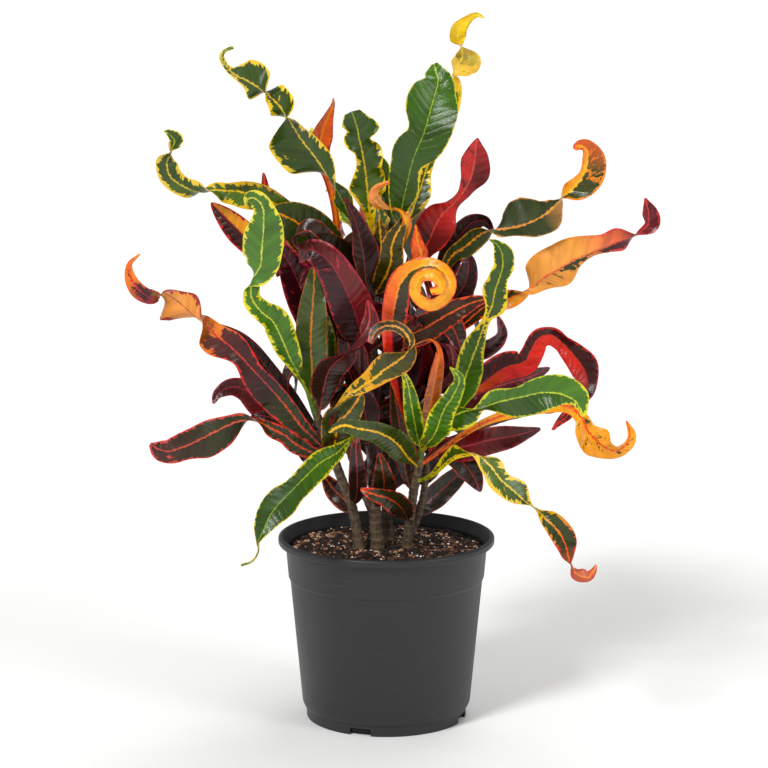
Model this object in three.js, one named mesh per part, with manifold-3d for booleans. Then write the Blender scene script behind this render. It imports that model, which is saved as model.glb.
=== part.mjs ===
// Potted croton: a clump of three croton plants with twisted leaves in a 10 inch grower's pot.
// Millimetres, +Z up. The origin is the middle of the pot's foot, on the surface it stands on.
import * as THREE from "three";
import { mergeVertices } from "three/addons/utils/BufferGeometryUtils.js";
import Module from "manifold-3d";

// ---- pot ----
const potHeight = 206;
const rimRadius = 120; // outside of the rolled rim
const lipHeight = 8.5;
const collarTopRadius = 112;
const collarFootRadius = 108.8;
const collarHeight = 37.5; // the band under the lip
const bodyTopRadius = 107;
const bodyFootRadius = 93.9;
const footRadius = 89.6;
const footHeight = 12.5; // of the foot ring
const shoulderHeight = 18; // where the body starts to round in to the foot ring
const potWall = 2.2;
const notchCount = 4; // drain notches round the foot ring
const notchPhase = 0.79; // where the first one is, as a share of the angle between two
const notchWidth = 26;
const notchHeight = 8;
const notchDepth = 9; // inwards from the foot's edge
const potSides = 36;

// ---- potting mix ----
const soilTop = 192; // mean height of its surface
const soilRoughness = 2.2; // height of its lumps
const soilRings = [104, 90, 68, 44, 20]; // radii of the rings of points on the surface
const soilSides = 26;
const touchGap = 0.3; // clearance where two pieces lie against each other
const holeClearance = 1.2; // round a stem in the mix
const holeLength = 100; // more than enough to pass the surface
const holeSides = 12;

// ---- stems ----
// Each stem is a line of points from its foot to its tip. A stem of a plant that has no foot of
// its own branches off another stem. Above youngFrom it is this year's green growth.
const woodySides = 6;
const youngRadius = 3.6;
const stems = {
  centre: { plant: "centre", radius: 6.5, youngFrom: 484, line: [[-10, 0, 150], [-10, 0, 194],
    [-12, 2, 222], [-16, 5, 323], [-16, 5, 424], [-15, 4, 480], [-15, 2, 530]] },
  back_left: { plant: "centre", radius: 4.6, line: [[-12, 2, 222], [-30, 30, 262], [-45, 45, 310],
    [-54, 54, 380], [-56, 58, 430], [-54, 58, 472]] },
  back_right: { plant: "centre", radius: 4.6, line: [[-13, 2, 240], [8, 22, 262], [30, 40, 300],
    [45, 50, 360], [54, 54, 416], [55, 52, 461]] },
  left: { plant: "left", radius: 5.2, youngFrom: 345, line: [[-31, -5, 150], [-31, -5, 194],
    [-37, -4, 235], [-50, -3, 271], [-63, -2, 305], [-73, -2, 332], [-81, -4, 354], [-87, -8, 375]] },
  left_low: { plant: "left", radius: 3.6, line: [[-37, -4, 232], [-38, -16, 252], [-37, -22, 276],
    [-34, -24, 300]] },
  right: { plant: "right", radius: 5, youngFrom: 296, line: [[23, -8, 150], [23, -8, 196],
    [26, -8, 222], [30, -10, 257], [35, -12, 284], [40, -16, 313]] },
  right_low: { plant: "right", radius: 3.8, line: [[25, -8, 205], [35, 2, 225], [41, 6, 250],
    [45, 8, 286]] },
  back: { plant: "back", radius: 5.4, youngFrom: 455, line: [[2, 34, 150], [2, 34, 196],
    [0, 50, 230], [0, 75, 290], [4, 100, 350], [6, 114, 428], [4, 118, 488]] },
};

// ---- leaves ----
const ribThickness = 1.6;
const edgeThickness = 0.8;
const stalkHalfWidth = 2; // where the leaf leaves its stem
const stalkShare = 0.1; // of a plain leaf's length
const foldAngle = 14; // degrees that each half of a blade is lifted from its rib
const frontSide = [0, -1, 0]; // the way a blade with a turn of 0 faces

// Colour of each tone of foliage, as a whole.
const tones = {
  young: 0x4f7d1c,
  mature: 0x5a2420,
};

// The leaves that show from the front. from is the height at which a leaf leaves its stem. A row of
// rib is across, away, up, the turn of the blade about its rib in degrees and, where the outline is
// lobed, the width of its two sides. A leaf without those has one half width, fullest at its peak.
// ruffle is how far its edges wave, and waves is how often.
const leaves = [
  { name: "top_left_corkscrew", stem: "centre", young: true, from: 505, ruffle: 2.5, waves: 5,
    rib: [[-27, -12, 531, 0, 3, 3], [-38, -23, 562, 0, 4, 4], [-48, -29, 583, 20, 11, 12],
      [-59, -35, 603, 90, 10, 10], [-73, -41, 626, 180, 16, 30], [-88, -45, 646, 180, 14, 36],
      [-97, -47, 660, 190, 9, 34], [-105, -47, 672, 265, 12, 21], [-112, -48, 684, 350, 14, 19],
      [-122, -48, 694, 370, 8, 19], [-129, -47, 700, 450, 11, 13], [-137, -46, 706, 530, 21, 18],
      [-147, -45, 712, 540, 24, 10], [-158, -44, 717, 540, 18, 5], [-167, -42, 724, 540, 4, 4],
      [-175, -39, 736, 540, 3, 3], [-172, -37, 743, 540, 2, 2], [-163, -35, 747, 540, 2, 2]] },
  { name: "top_right_gold", stem: "centre", young: true, from: 520, ruffle: 2, waves: 4, sections: 20,
    rib: [[20, 28, 550, 0, 3, 3], [34, 42, 578, 0, 9, 14], [43, 51, 604, 0, 6, 7],
      [55, 58, 633, 0, 6, 6], [67, 61, 664, 0, 9, 10], [74, 61, 686, 10, 10, 9],
      [75, 60, 701, 40, 8, 8], [73, 59, 711, 90, 7, 7], [78, 57, 721, 165, 19, 9],
      [83, 55, 730, 180, 22, 8], [82, 54, 740, 260, 8, 7], [78, 51, 751, 350, 9, 9],
      [80, 47, 762, 360, 9, 9], [89, 43, 772, 360, 5, 5], [98, 39, 777, 360, 3, 3],
      [106, 35, 774, 360, 1, 1]] },
  { name: "big_green", stem: "centre", young: true, from: 516, ruffle: 3,
    rib: [[11, -31, 553, 20, 3, 3], [16, -44, 576, 10, 13, 8], [21, -53, 599, 0, 20, 14],
      [26, -59, 622, 0, 23, 11], [32, -61, 640, -5, 25, 24], [40, -60, 659, -5, 18, 29],
      [46, -56, 680, 0, 28, 30], [51, -49, 697, 0, 27, 25], [55, -42, 711, 0, 15, 17],
      [53, -36, 721, -10, 12, 10], [51, -30, 729, -20, 4, 4]] },
  { name: "crown_ruffled", stem: "centre", young: true, from: 524, ruffle: 5, waves: 5,
    rib: [[-16, -8, 550, 0, 3, 3], [-19, -19, 576, 0, 9, 9], [-21, -27, 598, 5, 20, 20],
      [-23, -36, 620, -10, 10, 20], [-26, -43, 637, 10, 9, 21], [-29, -48, 651, -10, 17, 13],
      [-31, -52, 662, 10, 12, 23], [-34, -57, 673, 0, 15, 14], [-37, -60, 681, 0, 9, 9]] },
  { name: "orange_tip", stem: "back_left", young: false, from: 460, ruffle: 3, waves: 2,
    rib: [[-58, 50, 504, 0, 4, 4], [-55, 46, 543, 0, 4, 4], [-58, 44, 571, 0, 4, 4],
      [-63, 41, 600, 0, 7, 7], [-72, 39, 626, 10, 10, 10], [-71, 38, 647, 10, 11, 13],
      [-65, 37, 665, 20, 7, 8], [-59, 36, 679, 30, 3, 3], [-58, 35, 687, 30, 1, 1]] },
  { name: "left_gold_hook", stem: "back_left", young: false, from: 460, ruffle: 2, waves: 4,
    rib: [[-75, 34, 520, 0, 3, 3], [-95, 23, 552, 0, 10, 9], [-129, 11, 578, 0, 15, 14],
      [-154, 5, 587, 0, 18, 14], [-175, -1, 590, 0, 14, 9], [-189, -5, 590, 60, 14, 10],
      [-201, -7, 589, 110, 13, 15], [-219, -9, 595, 180, 11, 12], [-233, -12, 606, 180, 13, 13],
      [-237, -13, 621, 190, 12, 12], [-232, -14, 633, 270, 8, 8], [-228, -14, 645, 345, 6, 11],
      [-234, -15, 653, 355, 3, 6], [-239, -15, 656, 360, 1, 1]] },
  { name: "left_orange_back", stem: "back_left", young: false, from: 450, half: 15, peak: 0.65,
    ruffle: 3, waves: 2,
    rib: [[-85, 46, 481, -10], [-117, 35, 506, -10], [-150, 26, 532, 0], [-173, 17, 556, 0],
      [-191, 10, 575, 10]] },
  { name: "red_tip_back", stem: "back_left", young: false, from: 439, half: 10,
    rib: [[-83, 68, 480, 30], [-111, 69, 531, 20], [-131, 63, 566, 10], [-136, 55, 603, 30]] },
  { name: "left_lime_curl", stem: "left", young: true, from: 360, ruffle: 3, waves: 6,
    rib: [[-93, -27, 387, 0, 3, 3], [-104, -45, 413, 0, 9, 13], [-113, -59, 438, 0, 13, 17],
      [-121, -71, 457, 10, 13, 18], [-133, -81, 469, 20, 11, 14], [-142, -89, 483, 20, 11, 10],
      [-144, -95, 495, 10, 8, 10], [-142, -99, 506, 80, 10, 11], [-137, -104, 515, 160, 16, 16],
      [-132, -109, 526, 178, 20, 20], [-131, -114, 541, 180, 23, 21], [-129, -119, 557, 180, 22, 21],
      [-128, -123, 573, 180, 19, 14], [-129, -126, 587, 190, 12, 9], [-135, -128, 596, 170, 9, 12],
      [-143, -129, 597, 140, 7, 10], [-146, -130, 590, 110, 3, 3]] },
  { name: "left_dark_green", stem: "back_left", young: false, from: 460, half: 26, ruffle: 4, waves: 2,
    peak: 0.6,
    rib: [[-53, 39, 495, 0], [-67, 27, 523, 0], [-84, 18, 543, 0], [-100, 12, 555, 0],
      [-116, 8, 563, 10], [-129, 5, 567, 20]] },
  { name: "olive_fold", stem: "centre", young: false, from: 478, half: 18, ruffle: 4, waves: 2,
    rib: [[-37, -20, 508, 0], [-52, -32, 526, -10], [-69, -40, 540, -10], [-84, -46, 552, 30],
      [-97, -48, 544, 90], [-91, -50, 530, 120]] },
  { name: "maroon_arch", stem: "centre", young: false, from: 400, half: 23, ruffle: 4, waves: 2,
    rib: [[-27, -27, 435, 0], [-37, -50, 472, -5], [-50, -58, 503, -10], [-65, -56, 524, -10],
      [-83, -49, 532, 10], [-93, -40, 517, 40]] },
  { name: "maroon_pink", stem: "back_left", young: false, from: 372, half: 22, ruffle: 3, waves: 2,
    rib: [[-68, 34, 414, 0], [-79, 24, 446, 10], [-92, 14, 476, 15], [-105, 10, 506, 10],
      [-117, 10, 525, 0], [-127, 10, 536, 0]] },
  { name: "silver_upright", stem: "left", young: true, from: 358, half: 17, ruffle: 4, blunt: 0.6,
    rib: [[-81, -28, 395, 0], [-82, -43, 433, 5], [-80, -49, 466, 5], [-78, -47, 492, 0],
      [-78, -42, 513, 0]] },
  { name: "lime_sliver", stem: "left", young: true, from: 352, half: 10,
    rib: [[-67, -20, 393, 30], [-64, -26, 427, 20], [-66, -28, 461, 10]] },
  { name: "maroon_grey", stem: "centre", young: false, from: 377, half: 15, ruffle: 3, waves: 2,
    rib: [[-43, -4, 417, 0], [-51, -5, 450, -10], [-58, -1, 479, -10], [-66, 5, 500, 0]] },
  { name: "gold_loop", stem: "left", young: false, from: 327, ruffle: 3, waves: 2,
    rib: [[-46, -72, 374, 0, 3, 3], [-31, -93, 388, 0, 9, 7], [-15, -105, 401, 0, 12, 10],
      [-1, -114, 414, 0, 16, 13], [13, -121, 425, 10, 15, 15], [23, -127, 437, 60, 8, 11],
      [24, -131, 448, 150, 6, 6], [18, -135, 458, 180, 6, 6], [8, -139, 464, 180, 6, 6],
      [-4, -143, 464, 180, 6, 6], [-12, -146, 458, 180, 6, 5], [-17, -150, 448, 180, 3, 3]] },
  { name: "brown_red_twist", stem: "left", young: false, from: 336, half: 16, ruffle: 4, waves: 2,
    rib: [[-67, -47, 385, 0], [-59, -71, 409, 20], [-43, -85, 426, 70], [-28, -88, 442, 100],
      [-18, -80, 460, 150], [-20, -60, 479, 170]] },
  { name: "orange_coil", stem: "right", young: false, from: 288, ruffle: 1, waves: 2,
    rib: [[17, -64, 365, 0, 4, 4], [9, -102, 416, 0, 10, 10], [6, -119, 457, 0, 11, 14],
      [9, -131, 488, 0, 13, 15], [16, -139, 512, -15, 13, 13], [30, -145, 526, -20, 10, 10],
      [46, -151, 530, -25, 8, 9], [59, -156, 524, -25, 8, 9], [65, -160, 511, -25, 8, 9],
      [59, -164, 498, -25, 8, 8], [46, -168, 492, -25, 8, 8], [33, -172, 499, -25, 7, 7],
      [30, -175, 512, -25, 7, 7], [37, -179, 523, -25, 7, 7], [50, -182, 523, -20, 7, 7],
      [55, -185, 512, -15, 6, 6], [45, -188, 508, 0, 4, 4]] },
  { name: "ochre_curl", stem: "centre", young: false, from: 478, ruffle: 2,
    rib: [[4, -30, 520, 0, 3, 3], [16, -52, 545, 0, 5, 6], [21, -61, 563, 20, 6, 6],
      [12, -67, 576, 80, 5, 5], [-3, -73, 580, 140, 6, 7], [-13, -78, 590, 180, 6, 6],
      [-11, -81, 602, 200, 5, 4], [3, -86, 609, 200, 2, 2]] },
  { name: "olive_gold_centre", stem: "centre", young: false, from: 470, half: 13, ruffle: 3,
    rib: [[3, -40, 511, 0], [6, -56, 539, 10], [15, -62, 560, 20], [23, -60, 575, 30]] },
  { name: "dark_orange_edge", stem: "centre", young: false, from: 465, half: 12, ruffle: 2,
    rib: [[-4, -14, 503, 0], [-6, -23, 536, 0], [-8, -25, 562, 10]] },
  { name: "red_upper", stem: "back_right", young: false, from: 456, ruffle: 3,
    rib: [[40, 38, 506, 0, 7, 7], [49, 30, 536, 0, 21, 19], [60, 25, 559, 0, 19, 21],
      [72, 21, 572, 20, 10, 8], [81, 18, 583, 30, 7, 8], [89, 16, 596, 20, 10, 12],
      [94, 14, 609, 0, 14, 19], [96, 12, 624, 0, 15, 16], [97, 11, 636, 0, 8, 10],
      [99, 10, 646, 0, 1, 1]] },
  { name: "orange_pointed", stem: "centre", young: false, from: 306,
    rib: [[9, -20, 484, 0, 3, 3], [27, -41, 507, 0, 4, 5], [37, -49, 525, 0, 11, 8],
      [34, -54, 540, 0, 9, 6], [32, -57, 551, 0, 4, 4], [31, -60, 560, 0, 1, 1]] },
  { name: "maroon_hump", stem: "back_right", young: false, from: 456, half: 13,
    rib: [[73, 45, 518, 0], [90, 41, 546, 0], [107, 38, 552, 10], [118, 35, 541, 20]] },
  { name: "right_sickle", stem: "back_right", young: false, from: 448, ruffle: 2, waves: 4,
    rib: [[68, 30, 507, 0, 7, 7], [87, 20, 526, 0, 11, 12], [105, 12, 542, 20, 11, 11],
      [117, 8, 546, 90, 8, 8], [127, 5, 547, 165, 9, 16], [137, 2, 549, 178, 10, 27],
      [147, -2, 552, 180, 14, 29], [159, -5, 557, 180, 20, 28], [173, -10, 566, 180, 22, 18],
      [183, -13, 576, 200, 12, 9], [190, -16, 584, 270, 9, 8], [202, -19, 595, 352, 10, 17],
      [212, -23, 611, 360, 5, 23], [216, -26, 628, 360, 6, 20], [213, -28, 639, 360, 4, 11],
      [205, -29, 641, 360, 4, 6], [202, -30, 637, 360, 2, 2]] },
  { name: "right_orange_long", stem: "back_right", young: false, from: 422, ruffle: 2, waves: 4,
    rib: [[82, 45, 433, 0, 6, 6], [110, 33, 458, 0, 10, 10], [134, 25, 467, 0, 11, 11],
      [150, 20, 475, 50, 10, 10], [161, 17, 482, 150, 9, 20], [174, 13, 493, 178, 16, 27],
      [190, 9, 503, 180, 21, 27], [207, 5, 514, 180, 10, 25], [224, 1, 522, 180, 5, 20],
      [239, -1, 528, 180, 7, 15], [254, -4, 535, 190, 12, 15], [267, -5, 540, 240, 7, 8],
      [275, -6, 544, 290, 5, 7], [284, -8, 554, 340, 4, 13], [284, -9, 567, 355, 7, 11],
      [280, -10, 583, 360, 1, 1]] },
  { name: "right_green_curl", stem: "right", young: true, from: 302, ruffle: 3, waves: 4,
    rib: [[74, -58, 356, 0, 3, 3], [80, -70, 381, 0, 9, 15], [87, -83, 407, 0, 14, 17],
      [96, -94, 435, 0, 15, 9], [105, -104, 464, 0, 5, 5], [111, -109, 480, 0, 7, 15],
      [114, -112, 496, 0, 14, 14], [118, -114, 510, 20, 14, 9], [122, -115, 524, 0, 10, 12],
      [121, -116, 538, -10, 9, 12], [115, -116, 548, -20, 4, 5], [108, -115, 552, -20, 1, 1]] },
  { name: "maroon_bow", stem: "back_right", young: false, from: 395, half: 12,
    rib: [[84, 49, 405, 0], [110, 44, 409, 20], [126, 39, 425, 40], [122, 35, 448, 60]] },
  { name: "maroon_drop", stem: "back_right", young: false, from: 448, half: 12,
    rib: [[73, 35, 464, 0], [86, 25, 483, 0], [90, 22, 506, 10], [83, 25, 523, 10]] },
  { name: "right_red_ring", stem: "right", young: false, from: 280, ruffle: 1.5, waves: 4,
    rib: [[83, 10, 354, 0, 6, 6], [108, 14, 376, 0, 17, 10], [132, 15, 392, 0, 19, 15],
      [152, 15, 398, 0, 14, 15], [159, 15, 411, 10, 11, 15], [167, 13, 425, 20, 12, 13],
      [181, 12, 429, 20, 12, 12], [194, 10, 420, 20, 12, 11], [205, 6, 408, 0, 15, 13],
      [216, 2, 394, 0, 18, 15], [221, -3, 377, 0, 11, 12], [216, -9, 362, 40, 9, 8],
      [201, -15, 352, 80, 8, 7], [182, -30, 331, 30, 2, 2]] },
  { name: "lime_long", stem: "right", young: true, from: 309, ruffle: 3, waves: 4,
    rib: [[52, -50, 335, 0, 3, 3], [65, -75, 351, 0, 10, 13], [82, -98, 365, 10, 11, 19],
      [99, -117, 373, 60, 10, 9], [119, -135, 383, 20, 19, 17], [140, -147, 390, 0, 13, 22],
      [161, -154, 396, 0, 18, 20], [179, -157, 396, 0, 21, 15], [194, -156, 390, 0, 19, 7],
      [202, -153, 380, 0, 10, 3], [206, -150, 370, 0, 3, 2]] },
  { name: "lime_curled", stem: "right", young: true, from: 306, half: 13, peak: 0.4, ruffle: 4,
    waves: 2.5,
    rib: [[52, -77, 337, 10], [60, -105, 366, 0], [71, -128, 390, 0], [76, -142, 408, 10],
      [66, -150, 422, 60]] },
  { name: "lime_toothed", stem: "right", young: true, from: 304, half: 9, ruffle: 3, waves: 5,
    rib: [[32, -56, 336, 0], [27, -84, 368, 0], [23, -98, 393, 0], [17, -108, 411, 0]] },
  { name: "green_droop", stem: "centre", young: false, from: 329, ruffle: 2, waves: 4,
    rib: [[-40, -48, 323, 0, 3, 3], [-53, -83, 317, 0, 9, 10], [-71, -113, 312, 0, 15, 14],
      [-86, -140, 303, 0, 16, 13], [-99, -159, 293, 0, 15, 12], [-111, -171, 283, 0, 18, 17],
      [-121, -179, 271, 10, 16, 15], [-128, -185, 256, 20, 8, 11], [-133, -187, 244, 60, 4, 5],
      [-134, -188, 233, 90, 3, 3], [-140, -187, 223, 120, 2, 2], [-152, -185, 218, 160, 2, 2]] },
  { name: "dark_gold_rib", stem: "right", young: false, from: 285, half: 14, ruffle: 3, waves: 2,
    rib: [[23, -49, 305, 0], [11, -86, 328, 0], [-7, -114, 345, -5], [-28, -131, 353, -5],
      [-46, -135, 357, 0], [-61, -130, 349, 0]] },
  { name: "left_red_long", stem: "left", young: false, from: 296, ruffle: 2.5, waves: 5,
    rib: [[-92, -21, 332, 0, 11, 9], [-111, -30, 359, 0, 20, 11], [-126, -39, 379, 0, 21, 11],
      [-142, -46, 398, 0, 18, 10], [-157, -53, 416, 20, 12, 14], [-169, -57, 429, 0, 17, 18],
      [-182, -61, 440, 0, 21, 15], [-192, -65, 451, 30, 19, 10], [-200, -68, 459, 100, 10, 10],
      [-206, -70, 464, 150, 12, 12], [-215, -73, 473, 178, 18, 23], [-225, -76, 482, 190, 11, 28],
      [-235, -79, 488, 230, 9, 21], [-243, -81, 488, 300, 9, 19], [-252, -82, 486, 345, 9, 11],
      [-263, -84, 494, 360, 10, 8], [-271, -86, 507, 360, 7, 6], [-272, -88, 522, 360, 3, 3],
      [-261, -90, 533, 360, 1, 1]] },
  { name: "left_brown", stem: "left", young: false, from: 300, half: 9, ruffle: 4,
    rib: [[-93, 12, 340, 20], [-116, 10, 370, 20], [-138, 6, 401, 20], [-158, 2, 424, 30],
      [-178, -2, 438, 40], [-197, -5, 445, 60]] },
  { name: "left_red_hump", stem: "left", young: false, from: 297, half: 15, ruffle: 2,
    rib: [[-108, 12, 324, 0], [-138, 15, 350, 0], [-154, 14, 366, 0], [-170, 12, 371, 0],
      [-185, 9, 364, 10], [-191, 5, 353, 20]] },
  { name: "left_low_long", stem: "left", young: false, from: 288, ruffle: 2.5, waves: 4,
    rib: [[-95, -19, 310, 0, 10, 9], [-111, -26, 324, 0, 10, 9], [-129, -31, 334, 30, 10, 7],
      [-144, -35, 342, 90, 7, 7], [-157, -39, 343, 160, 9, 12], [-171, -43, 339, 180, 11, 20],
      [-187, -48, 332, 180, 15, 24], [-202, -52, 325, 180, 16, 24], [-218, -55, 318, 180, 16, 17],
      [-235, -57, 313, 180, 13, 15], [-247, -59, 316, 180, 9, 12], [-256, -60, 321, 180, 2, 2]] },
  { name: "left_low_short", stem: "left", young: false, from: 303, half: 9,
    rib: [[-95, 0, 322, 30], [-117, -1, 334, 30], [-137, -3, 341, 40], [-152, -5, 338, 60]] },
  { name: "right_low_long", stem: "right", young: false, from: 268, ruffle: 2, waves: 5,
    rib: [[51, -28, 281, 0, 3, 3], [69, -46, 302, 0, 9, 4], [83, -57, 310, 20, 14, 4],
      [97, -66, 311, 90, 6, 6], [112, -78, 301, 170, 12, 13], [123, -88, 288, 180, 15, 10],
      [139, -99, 276, 180, 13, 15], [149, -105, 268, 210, 7, 8], [158, -109, 262, 270, 4, 4],
      [169, -115, 252, 340, 11, 7], [181, -121, 242, 360, 15, 11], [190, -125, 228, 360, 14, 11],
      [194, -129, 214, 380, 7, 7], [197, -130, 205, 450, 4, 4], [203, -132, 195, 520, 7, 8],
      [214, -134, 192, 540, 6, 8], [220, -134, 198, 540, 4, 4], [223, -135, 206, 540, 1, 1]] },
  { name: "right_low_dark", stem: "right", young: false, from: 224, half: 13, ruffle: 2,
    rib: [[42, 17, 235, 0], [60, 30, 248, 0], [78, 35, 264, 0], [98, 30, 283, 0]] },
  { name: "right_maroon_mid", stem: "back_right", young: false, from: 293, half: 16, ruffle: 3,
    rib: [[77, 20, 300, 0], [110, 7, 311, 0], [140, 0, 318, 0], [170, 0, 326, 10]] },
  { name: "right_dark_hook", stem: "right", young: false, from: 291, half: 10, ruffle: 2,
    rib: [[81, -22, 325, 60], [119, -28, 343, 60], [156, -33, 352, 60], [189, -36, 361, 40],
      [204, -37, 363, 20], [199, -38, 351, 0], [187, -39, 340, -10], [180, -40, 333, -20]] },
  { name: "right_orange_hook", stem: "right", young: false, from: 286, ruffle: 1.5,
    rib: [[102, -39, 339, 0, 4, 4], [155, -56, 359, 0, 7, 7], [193, -65, 365, 0, 8, 8],
      [209, -70, 354, 0, 7, 8], [217, -73, 339, 0, 10, 15], [227, -76, 328, 0, 17, 19],
      [238, -78, 320, 10, 10, 12], [249, -80, 319, 20, 7, 9], [258, -82, 327, 20, 4, 9],
      [261, -83, 337, 20, 3, 7], [257, -85, 352, 20, 1, 1]] },
  { name: "orange_bar", stem: "centre", young: false, from: 415, half: 15, ruffle: 3,
    rib: [[36, -47, 444, 0], [66, -62, 464, 0], [91, -65, 477, 0], [112, -62, 482, 10]] },
  { name: "small_orange_curl", stem: "right", young: true, from: 302, half: 9,
    rib: [[52, -111, 410, 30], [54, -120, 435, 60], [45, -121, 446, 90], [30, -120, 441, 120]] },
  { name: "low_centre_front", stem: "right", young: false, from: 222, half: 12, ruffle: 2,
    rib: [[15, -47, 249, 0], [2, -67, 263, 0], [-13, -75, 269, 0], [-28, -72, 274, 10]] },
  { name: "low_centre_up", stem: "centre", young: false, from: 235, half: 13, ruffle: 3,
    rib: [[-3, -38, 268, 0], [-4, -52, 290, 0], [-8, -50, 309, 10]] },
  { name: "low_red_rib", stem: "left", young: false, from: 237, half: 9, ruffle: 2,
    rib: [[-32, -33, 264, 0], [-32, -52, 293, 0], [-33, -55, 316, 0], [-31, -50, 329, 0]] },
  { name: "low_left_back", stem: "left", young: false, from: 229, half: 12,
    rib: [[-45, 26, 238, 0], [-58, 38, 248, 0], [-72, 35, 268, 10]] },
  { name: "olive_oval", stem: "left", young: false, from: 292, half: 17, ruffle: 2, blunt: 0.5,
    rib: [[-53, -38, 340, 0], [-44, -55, 352, 0], [-34, -66, 367, 0], [-27, -70, 380, 0]] },
  { name: "dark_red_upright", stem: "right", young: false, from: 248, half: 9,
    rib: [[20, -16, 288, 0], [15, -22, 329, 0], [10, -26, 363, 0], [6, -30, 388, 0]] },
];

// Leaves on the sides that the front doesn't show, which take their form from one above: form,
// stem, from, the angle in degrees that the form is turned about the stem, and its size.
const turnedLeaves = [
  ["left_red_long", "back_right", 345, -110, 0.85],
  ["left_red_long", "back_left", 330, -95, 0.9],
  ["left_lime_curl", "back", 472, -86, 0.7],
  ["right_sickle", "back_left", 386, 101, 0.95],
  ["right_sickle", "back_right", 368, 140, 0.9],
  ["right_orange_long", "back_left", 396, 105, 0.9],
  ["right_orange_long", "back", 360, 110, 0.9],
  ["left_low_long", "back_right", 300, 205, 1],
  ["left_low_long", "back_left", 292, -100, 0.95],
  ["green_droop", "back", 330, 185, 1],
  ["right_red_ring", "back", 330, 85, 0.95],
  ["lime_long", "back", 380, 140, 0.95],
  ["gold_loop", "back", 400, 150, 0.95],
  ["right_low_long", "back_left", 292, 115, 1],
  ["maroon_arch", "back", 408, -88, 0.8],
  ["maroon_pink", "back_right", 330, -150, 0.9],
  ["silver_upright", "back", 474, 210, 1],
  ["big_green", "back", 470, 150, 0.7],
  ["crown_ruffled", "back", 480, 220, 0.85],
  ["left_brown", "back_left", 345, -70, 1],
  ["red_upper", "back_left", 440, 100, 1],
  ["left_red_hump", "back_left", 370, -84, 1.1],
  ["maroon_hump", "back_left", 385, 235, 1.3],
  ["left_orange_back", "back_right", 430, -100, 1],
  ["left_dark_green", "back_right", 440, -120, 1],
  ["brown_red_twist", "back_right", 390, 140, 1],
  ["maroon_drop", "back_right", 350, 60, 1.3],
  ["right_maroon_mid", "back_right", 345, 30, 1],
  ["low_centre_up", "back", 260, 170, 1.1],
  ["low_left_back", "back", 250, 230, 1.2],
  ["right_low_dark", "back", 262, 30, 1.2],
  ["dark_gold_rib", "back", 300, 180, 1.1],
  ["maroon_grey", "centre", 330, 40, 1.1],
  ["maroon_grey", "centre", 270, 60, 1.1],
  ["maroon_arch", "centre", 340, 90, 0.9],
  ["brown_red_twist", "centre", 300, 60, 0.9],
  ["maroon_hump", "back_right", 300, -45, 1.2],
  ["maroon_drop", "back_left", 340, 20, 1.2],
  ["maroon_arch", "back_left", 380, 30, 0.9],
  ["maroon_grey", "back_right", 380, -10, 1.2],
  ["maroon_arch", "back_right", 340, 10, 0.9],
  ["maroon_grey", "centre", 440, 60, 1.2],
  ["maroon_grey", "centre", 410, -110, 1.1],
  ["maroon_grey", "centre", 240, 170, 1.1],
  ["maroon_drop", "centre", 345, -60, 1.3],
];

const wasm = await Module();
wasm.setup();

const radians = THREE.MathUtils.degToRad;

// A closed geometry as a solid. Only the positions count, so shared corners become one.
function solidOf(geometry) {
  const plain = geometry.clone();
  plain.deleteAttribute("normal");
  plain.deleteAttribute("uv");
  const merged = mergeVertices(plain, 1e-4);
  const corners = merged.index.array;
  const kept = [];
  for (let i = 0; i < corners.length; i += 3) {
    const [a, b, c] = [corners[i], corners[i + 1], corners[i + 2]];
    if (a !== b && b !== c && c !== a) kept.push(a, b, c);
  }
  const mesh = new wasm.Mesh({
    numProp: 3,
    vertProperties: new Float32Array(merged.attributes.position.array),
    triVerts: new Uint32Array(kept),
  });
  return new wasm.Manifold(mesh);
}

function geometryOf(solid) {
  const mesh = solid.getMesh();
  const geometry = new THREE.BufferGeometry();
  geometry.setAttribute("position", new THREE.BufferAttribute(mesh.vertProperties, 3));
  geometry.setIndex(new THREE.BufferAttribute(mesh.triVerts, 1));
  geometry.computeVertexNormals();
  return geometry;
}

// Joins solids into one body. Scraps that hang on nothing are dropped.
function joined(solids) {
  let whole = solids[0];
  for (const solid of solids.slice(1)) whole = whole.add(solid);
  const bodies = whole.decompose();
  bodies.sort((a, b) => b.volume() - a.volume());
  return bodies[0].asOriginal().simplify(0.05);
}

// The row of a table at t from 0 to 1, on a smooth line through all its rows.
function rowAt(rows, t) {
  const last = rows.length - 1;
  const place = Math.min(t * last, last - 1e-9);
  const i = Math.floor(place);
  const f = place - i;
  const [a, b] = [rows[i], rows[i + 1]];
  const before = i > 0 ? rows[i - 1] : a.map((v, k) => 2 * v - b[k]);
  const after = i < last - 1 ? rows[i + 2] : b.map((v, k) => 2 * v - a[k]);
  return a.map((v, k) => {
    const leave = (b[k] - before[k]) / 2;
    const arrive = (after[k] - v) / 2;
    const bend = 2 * v - 2 * b[k] + leave + arrive;
    const swell = -3 * v + 3 * b[k] - 2 * leave - arrive;
    return ((bend * f + swell) * f + leave) * f + v;
  });
}

// Half width of a plain lance-shaped blade at u from 0 at the stem to 1 at the tip.
function lanceWidth(u, { half, peak = 0.45, blunt = 0.75 }) {
  const along = THREE.MathUtils.clamp((u - stalkShare) / (1 - stalkShare), 0, 1);
  const skew = Math.log(0.5) / Math.log(peak);
  return half * Math.pow(Math.sin(Math.PI * Math.pow(along, skew)), blunt) + 1.2;
}

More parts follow.
